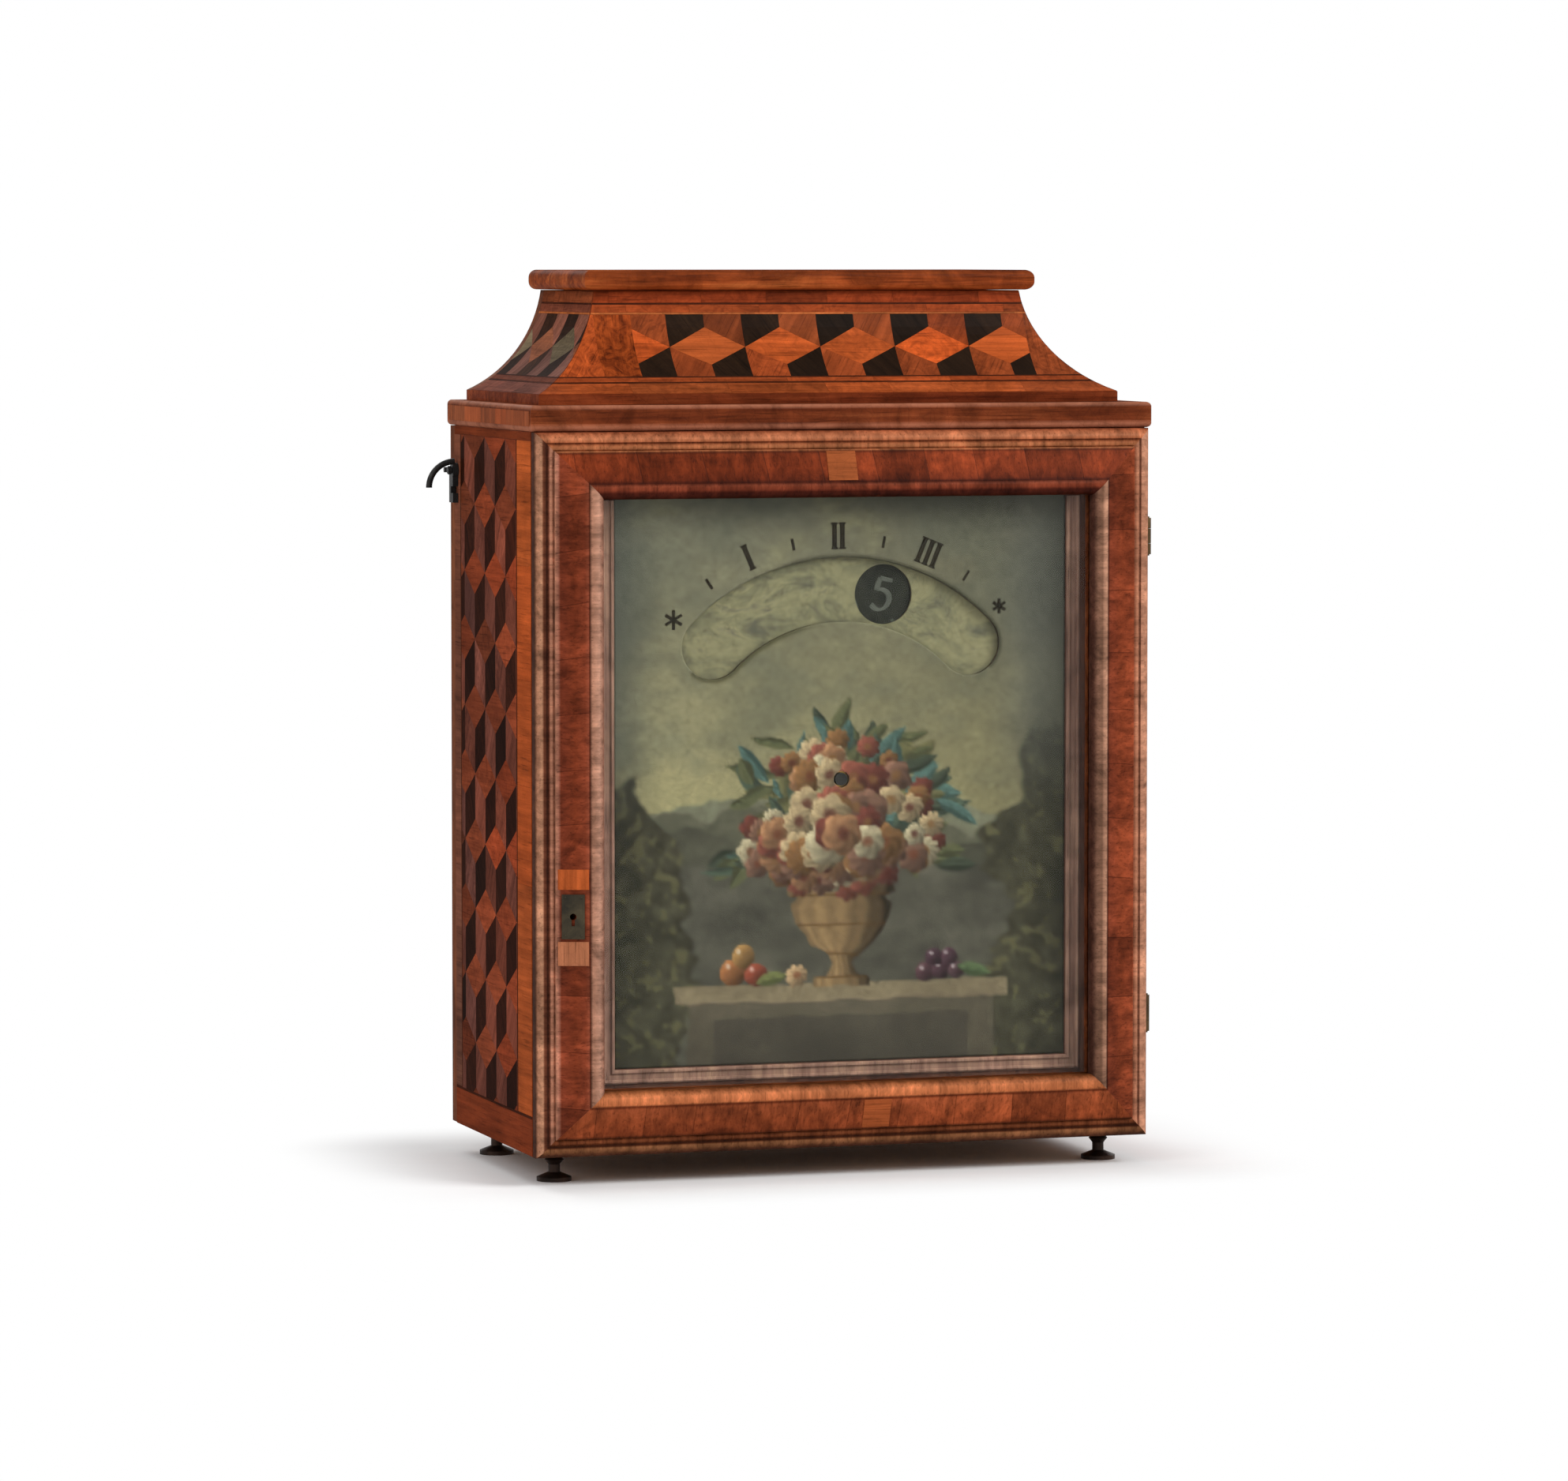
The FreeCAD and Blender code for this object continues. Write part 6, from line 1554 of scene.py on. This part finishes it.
class Heads:
    """Heads of screws, nails and pins: closed forms that stand on faces of the part."""

    def __init__(self):
        self.points = []
        self.faces = []

    def stack(self, centre, outward, rings):
        """One closed form from outlines with equal counts of points, at rising heights over a face."""
        side = outward.orthogonal().normalized()
        up = outward.cross(side)
        first = len(self.points)
        count = len(rings[0][1])
        for height, outline in rings:
            self.points += [centre + side * u + up * v + outward * height for u, v in outline]
        for level in range(len(rings) - 1):
            for i in range(count):
                here = first + level * count + i
                there = first + level * count + (i + 1) % count
                self.faces.append([here, there, there + count, here + count])
        last = first + (len(rings) - 1) * count
        self.faces.append([first + i for i in reversed(range(count))])
        self.faces.append([last + i for i in range(count)])

    def screw(self, centre, outward, radius, proud, slot, depth):
        """A flat head with an open slot, left at any turn."""
        turn = chance.uniform(0, math.pi)
        edge = math.asin(slot / 2 / radius)
        arc = [edge + (math.pi - 2 * edge) * i / 10 for i in range(11)]
        for half in (turn, turn + math.pi):
            outline = ring(radius, [a + half for a in arc])
            inner = [(u * 0.92, v * 0.92) for u, v in outline]
            self.stack(centre, outward, [(HEAD_SUNK, outline), (proud * 0.7, outline), (proud, inner)])
        floor = ring(radius, [turn + a for a in (-edge, edge, math.pi - edge, math.pi + edge)])
        self.stack(centre, outward, [(HEAD_SUNK, floor), (proud - depth, floor)])

    def nail(self, centre, outward, radius=2.3, proud=0.8):
        """A forged head with five or six uneven facets."""
        count = chance.choice((5, 6))
        turn = chance.uniform(0, math.pi)
        spokes = []
        for i in range(count):
            angle = turn + 2 * math.pi * (i + chance.uniform(-0.15, 0.15)) / count
            spokes.append((angle, radius * chance.uniform(0.85, 1.1)))
        rings = []
        for height, share in ((HEAD_SUNK, 1.0), (proud * 0.15, 1.0), (proud * 0.7, 0.6), (proud, 0.2)):
            rings.append((height, [(r * share * math.cos(a), r * share * math.sin(a)) for a, r in spokes]))
        self.stack(centre, outward, rings)

    def pin(self, centre, outward, radius, proud):
        """A small round head."""
        turns = [2 * math.pi * i / 14 for i in range(14)]
        rings = [(HEAD_SUNK, ring(radius, turns))]
        for rise in (math.radians(degrees) for degrees in (0, 25, 50, 75)):
            rings.append((proud * math.sin(rise), ring(radius * math.cos(rise), turns)))
        self.stack(centre, outward, rings)

    def build(self, name, material, body, slot):
        new_piece(name, self.points, self.faces, material, body)


LEFTWARD = Vector((-1, 0, 0))
FORWARD = Vector((0, -1, 0))
BACKWARD = Vector((0, 1, 0))
UPWARD = Vector((0, 0, 1))
HINGE_SCREW = {"radius": 1.6, "proud": 0.1, "slot": 0.5, "depth": 0.07}
HINGE_X = 171.0
HINGE_LEVELS = (83.0, 347.0)
CAP_HINGES = (-65.0, 65.0)
CAP_HINGE_Y = 83.5
SCREWS_ASIDE = (-6.0, 6.0)


def inset_corners(low, high, inset_x, inset_z):
    """The four places x, z at a distance within the corners of an upright face."""
    for x in (low.x + inset_x, high.x - inset_x):
        for z in (low.z + inset_z, high.z - inset_z):
            yield x, z


def hinge_screws():
    """Two small screws in every hinge leaf."""
    case, door, rear, lid = Heads(), Heads(), Heads(), Heads()
    side_front, side_rear = (corner.y for corner in span("left_side"))
    door_rear, panel_front = span("door_stile_left")[1].y, span("rear_door_panel")[0].y
    for z in (level + aside for level in HINGE_LEVELS for aside in SCREWS_ASIDE):
        for heads, y, outward in (
            (case, side_front, FORWARD), (door, door_rear, BACKWARD),
            (case, side_rear, BACKWARD), (rear, panel_front, FORWARD),
        ):
            heads.screw(Vector((HINGE_X, y, z)), outward, **HINGE_SCREW)
    for x in (middle + aside for middle in CAP_HINGES for aside in SCREWS_ASIDE):
        case.screw(Vector((x, CAP_HINGE_Y, HOOD_HIGH)), UPWARD, **HINGE_SCREW)
        lid.screw(Vector((x, CAP_HINGE_Y, CAP_LOW.z)), -UPWARD, **HINGE_SCREW)
    for heads, name, body in (
        (case, "case", "case"), (door, "door", "front_door"),
        (rear, "rear", "rear_door"), (lid, "lid", "vent_lid"),
    ):
        heads.build(name + "_hinge_screws", STEEL, body, "bright_steel")


def lock_heads():
    """Pins of the lock plate, screws of the lock case and pins of the glazing strips."""
    low, high = span("lock_plate")
    level = (low.z + high.z) / 2
    outward = Vector((-SLOPE_SINE, -SLOPE_COSINE, 0))
    pins = Heads()
    for aside in (-4.4, 4.4):
        inward, y = on_slope(SLOPE_LENGTH / 2 + aside, 1.0)
        for rise in (-10.2, 10.2):
            pins.pin(Vector((DOOR_EDGE + inward, y, level + rise)), outward, 0.75, 0.45)
    pins.build("lock_plate_pins", LOCK_IRON, "front_door", "black_iron")
    low, high = span("lock_case")
    screws = Heads()
    for x, z in inset_corners(low, high, 2.6, 3.0):
        screws.screw(Vector((x, high.y, z)), BACKWARD, 1.7, 0.4, 0.5, 0.3)
    screws.build("lock_case_screws", STEEL, "front_door", "bright_steel")
    low, high = span("glazing_strips")
    inset, first = 3.2, 18
    rows, columns = (low.z + inset, high.z - inset), (low.x + inset, high.x - inset)
    places = [(x, z) for x in np.linspace(low.x + first, high.x - first, 6) for z in rows]
    places += [(x, z) for z in np.linspace(low.z + first, high.z - first, 7) for x in columns]
    nails = Heads()
    for x, z in places:
        nails.pin(Vector((x, high.y, z)), BACKWARD, 0.8, 0.35)
    nails.build("glazing_pins", IRON, "front_door", "black_iron")


def movement_screws():
    """Blued screws of the back plate and the cock, and the screw that the hook turns on."""
    low, high = span("movement_back_plate")
    screws = Heads()
    for x, z in inset_corners(low, high, 8, 8):
        screws.screw(Vector((x, high.y, z)), BACKWARD, 3.4, 1.2, 0.9, 0.8)
    high = span("pendulum_cock")[1]
    for x in (-5.8, 5.8):
        screws.screw(Vector((x, high.y, high.z - 4.2)), BACKWARD, 2.0, 0.8, 0.6, 0.5)
    screws.build("movement_screws", BLUED_STEEL, "case", "bright_steel")
    low, high = span("latch_pivot")
    middle = (low + high) / 2
    screw = Heads()
    screw.screw(Vector((low.x, middle.y, middle.z)), LEFTWARD, 2.1, 0.5, 0.6, 0.4)
    screw.build("latch_screw", IRON, "case", "black_iron")


NAIL_ROW = (-152.0, -118.0, -82.0, -48.0, -14.0, 20.0, 52.0, 82.0, 112.0, 150.0)


def back_nails():
    """Forged nails through the cross boards of the rear door and along the hood's back."""
    low, high = span("rear_door_panel")
    nails = Heads()
    for i, x in enumerate(NAIL_ROW):
        deep = 14 if i % 2 else 34
        for z in (low.z + deep, high.z - deep):
            spot = Vector((x + chance.uniform(-2, 2), high.y + Inlay.PROUD, z + chance.uniform(-1.5, 1.5)))
            nails.nail(spot, BACKWARD)
    nails.build("rear_door_nails", IRON, "rear_door", "black_iron")
    rear = span("hood_back")[1].y
    nails = Heads()
    for z, reach in ((HOOD_FOOT + 7, 148.0), (HOOD_HIGH - 8, 112.0)):
        for i in range(5):
            nails.nail(Vector((-reach + reach * i / 2, rear, z + chance.uniform(-1, 1))), BACKWARD)
    nails.build("hood_back_nails", IRON, "case", "black_iron")


hinge_screws()
lock_heads()
movement_screws()
back_nails()


# Floor, light and surroundings
FLOOR_HALF = 30
FADE = 0.1
SKY_STRENGTH = 0.4
PLAIN_WHITE = (1, 1, 1, 1)
AIM = Vector((0, 0, 0.24))


def pale_floor():
    """A wide pale floor that turns into the plain background away from the object."""
    mesh = bpy.data.meshes.new("floor")
    edit = bmesh.new()
    bmesh.ops.create_grid(edit, x_segments=8, y_segments=8, size=FLOOR_HALF)
    edit.to_mesh(mesh)
    edit.free()
    floor = bpy.data.objects.new("floor", mesh)
    bpy.context.scene.collection.objects.link(floor)
    g = Graph("floor_paper")
    place = g.place()
    high = CAD_BOX[1]
    beyond = g.vector("SUBTRACT", g.vector("ABSOLUTE", place), (high.x, high.y, 1.0))
    away = g.vector("LENGTH", g.vector("MAXIMUM", beyond, (0.0, 0.0, 0.0)))
    far = g.grey(away, 0.0, FADE, smooth=True)
    grain = g.noise(place, scale=40, detail=3)
    tones = g.ramp(grain, (0.3, (0.95, 0.95, 0.95, 1)), (0.7, (0.97, 0.97, 0.97, 1)))
    paper = g.add("BsdfDiffuse", Color=tones)
    white = g.add("Emission", Color=PLAIN_WHITE, Strength=1.0)
    mesh.materials.append(g.either(g.math("MULTIPLY", far, g.seen()), paper, white))


def surroundings():
    """An even soft sky that is white where it is seen, in glass or in polish too."""
    g = Graph("studio", "World")
    soft = g.add("Background", Color=PLAIN_WHITE, Strength=SKY_STRENGTH)
    white = g.add("Background", Color=PLAIN_WHITE, Strength=1.0)
    bpy.context.scene.world = g.either(g.seen(), soft, white)


def soft_lamp(name, place, size, power):
    """A square soft lamp turned to the middle of the object."""
    data = bpy.data.lights.new(name, "AREA")
    data.shape = "RECTANGLE"
    data.size = data.size_y = size
    data.energy = power
    lamp = bpy.data.objects.new(name, data)
    lamp.location = place
    lamp.rotation_euler = (AIM - Vector(place)).to_track_quat("-Z", "Y").to_euler()
    bpy.context.scene.collection.objects.link(lamp)


pale_floor()
surroundings()
soft_lamp("key_lamp", (1.9, -1.75, 2.0), 1.6, 66)
soft_lamp("fill_lamp", (-2.0, -1.2, 1.3), 1.4, 15)
soft_lamp("rear_lamp", (-0.4, 2.2, 1.8), 1.4, 30)
bpy.context.scene.view_settings.view_transform = "Standard"
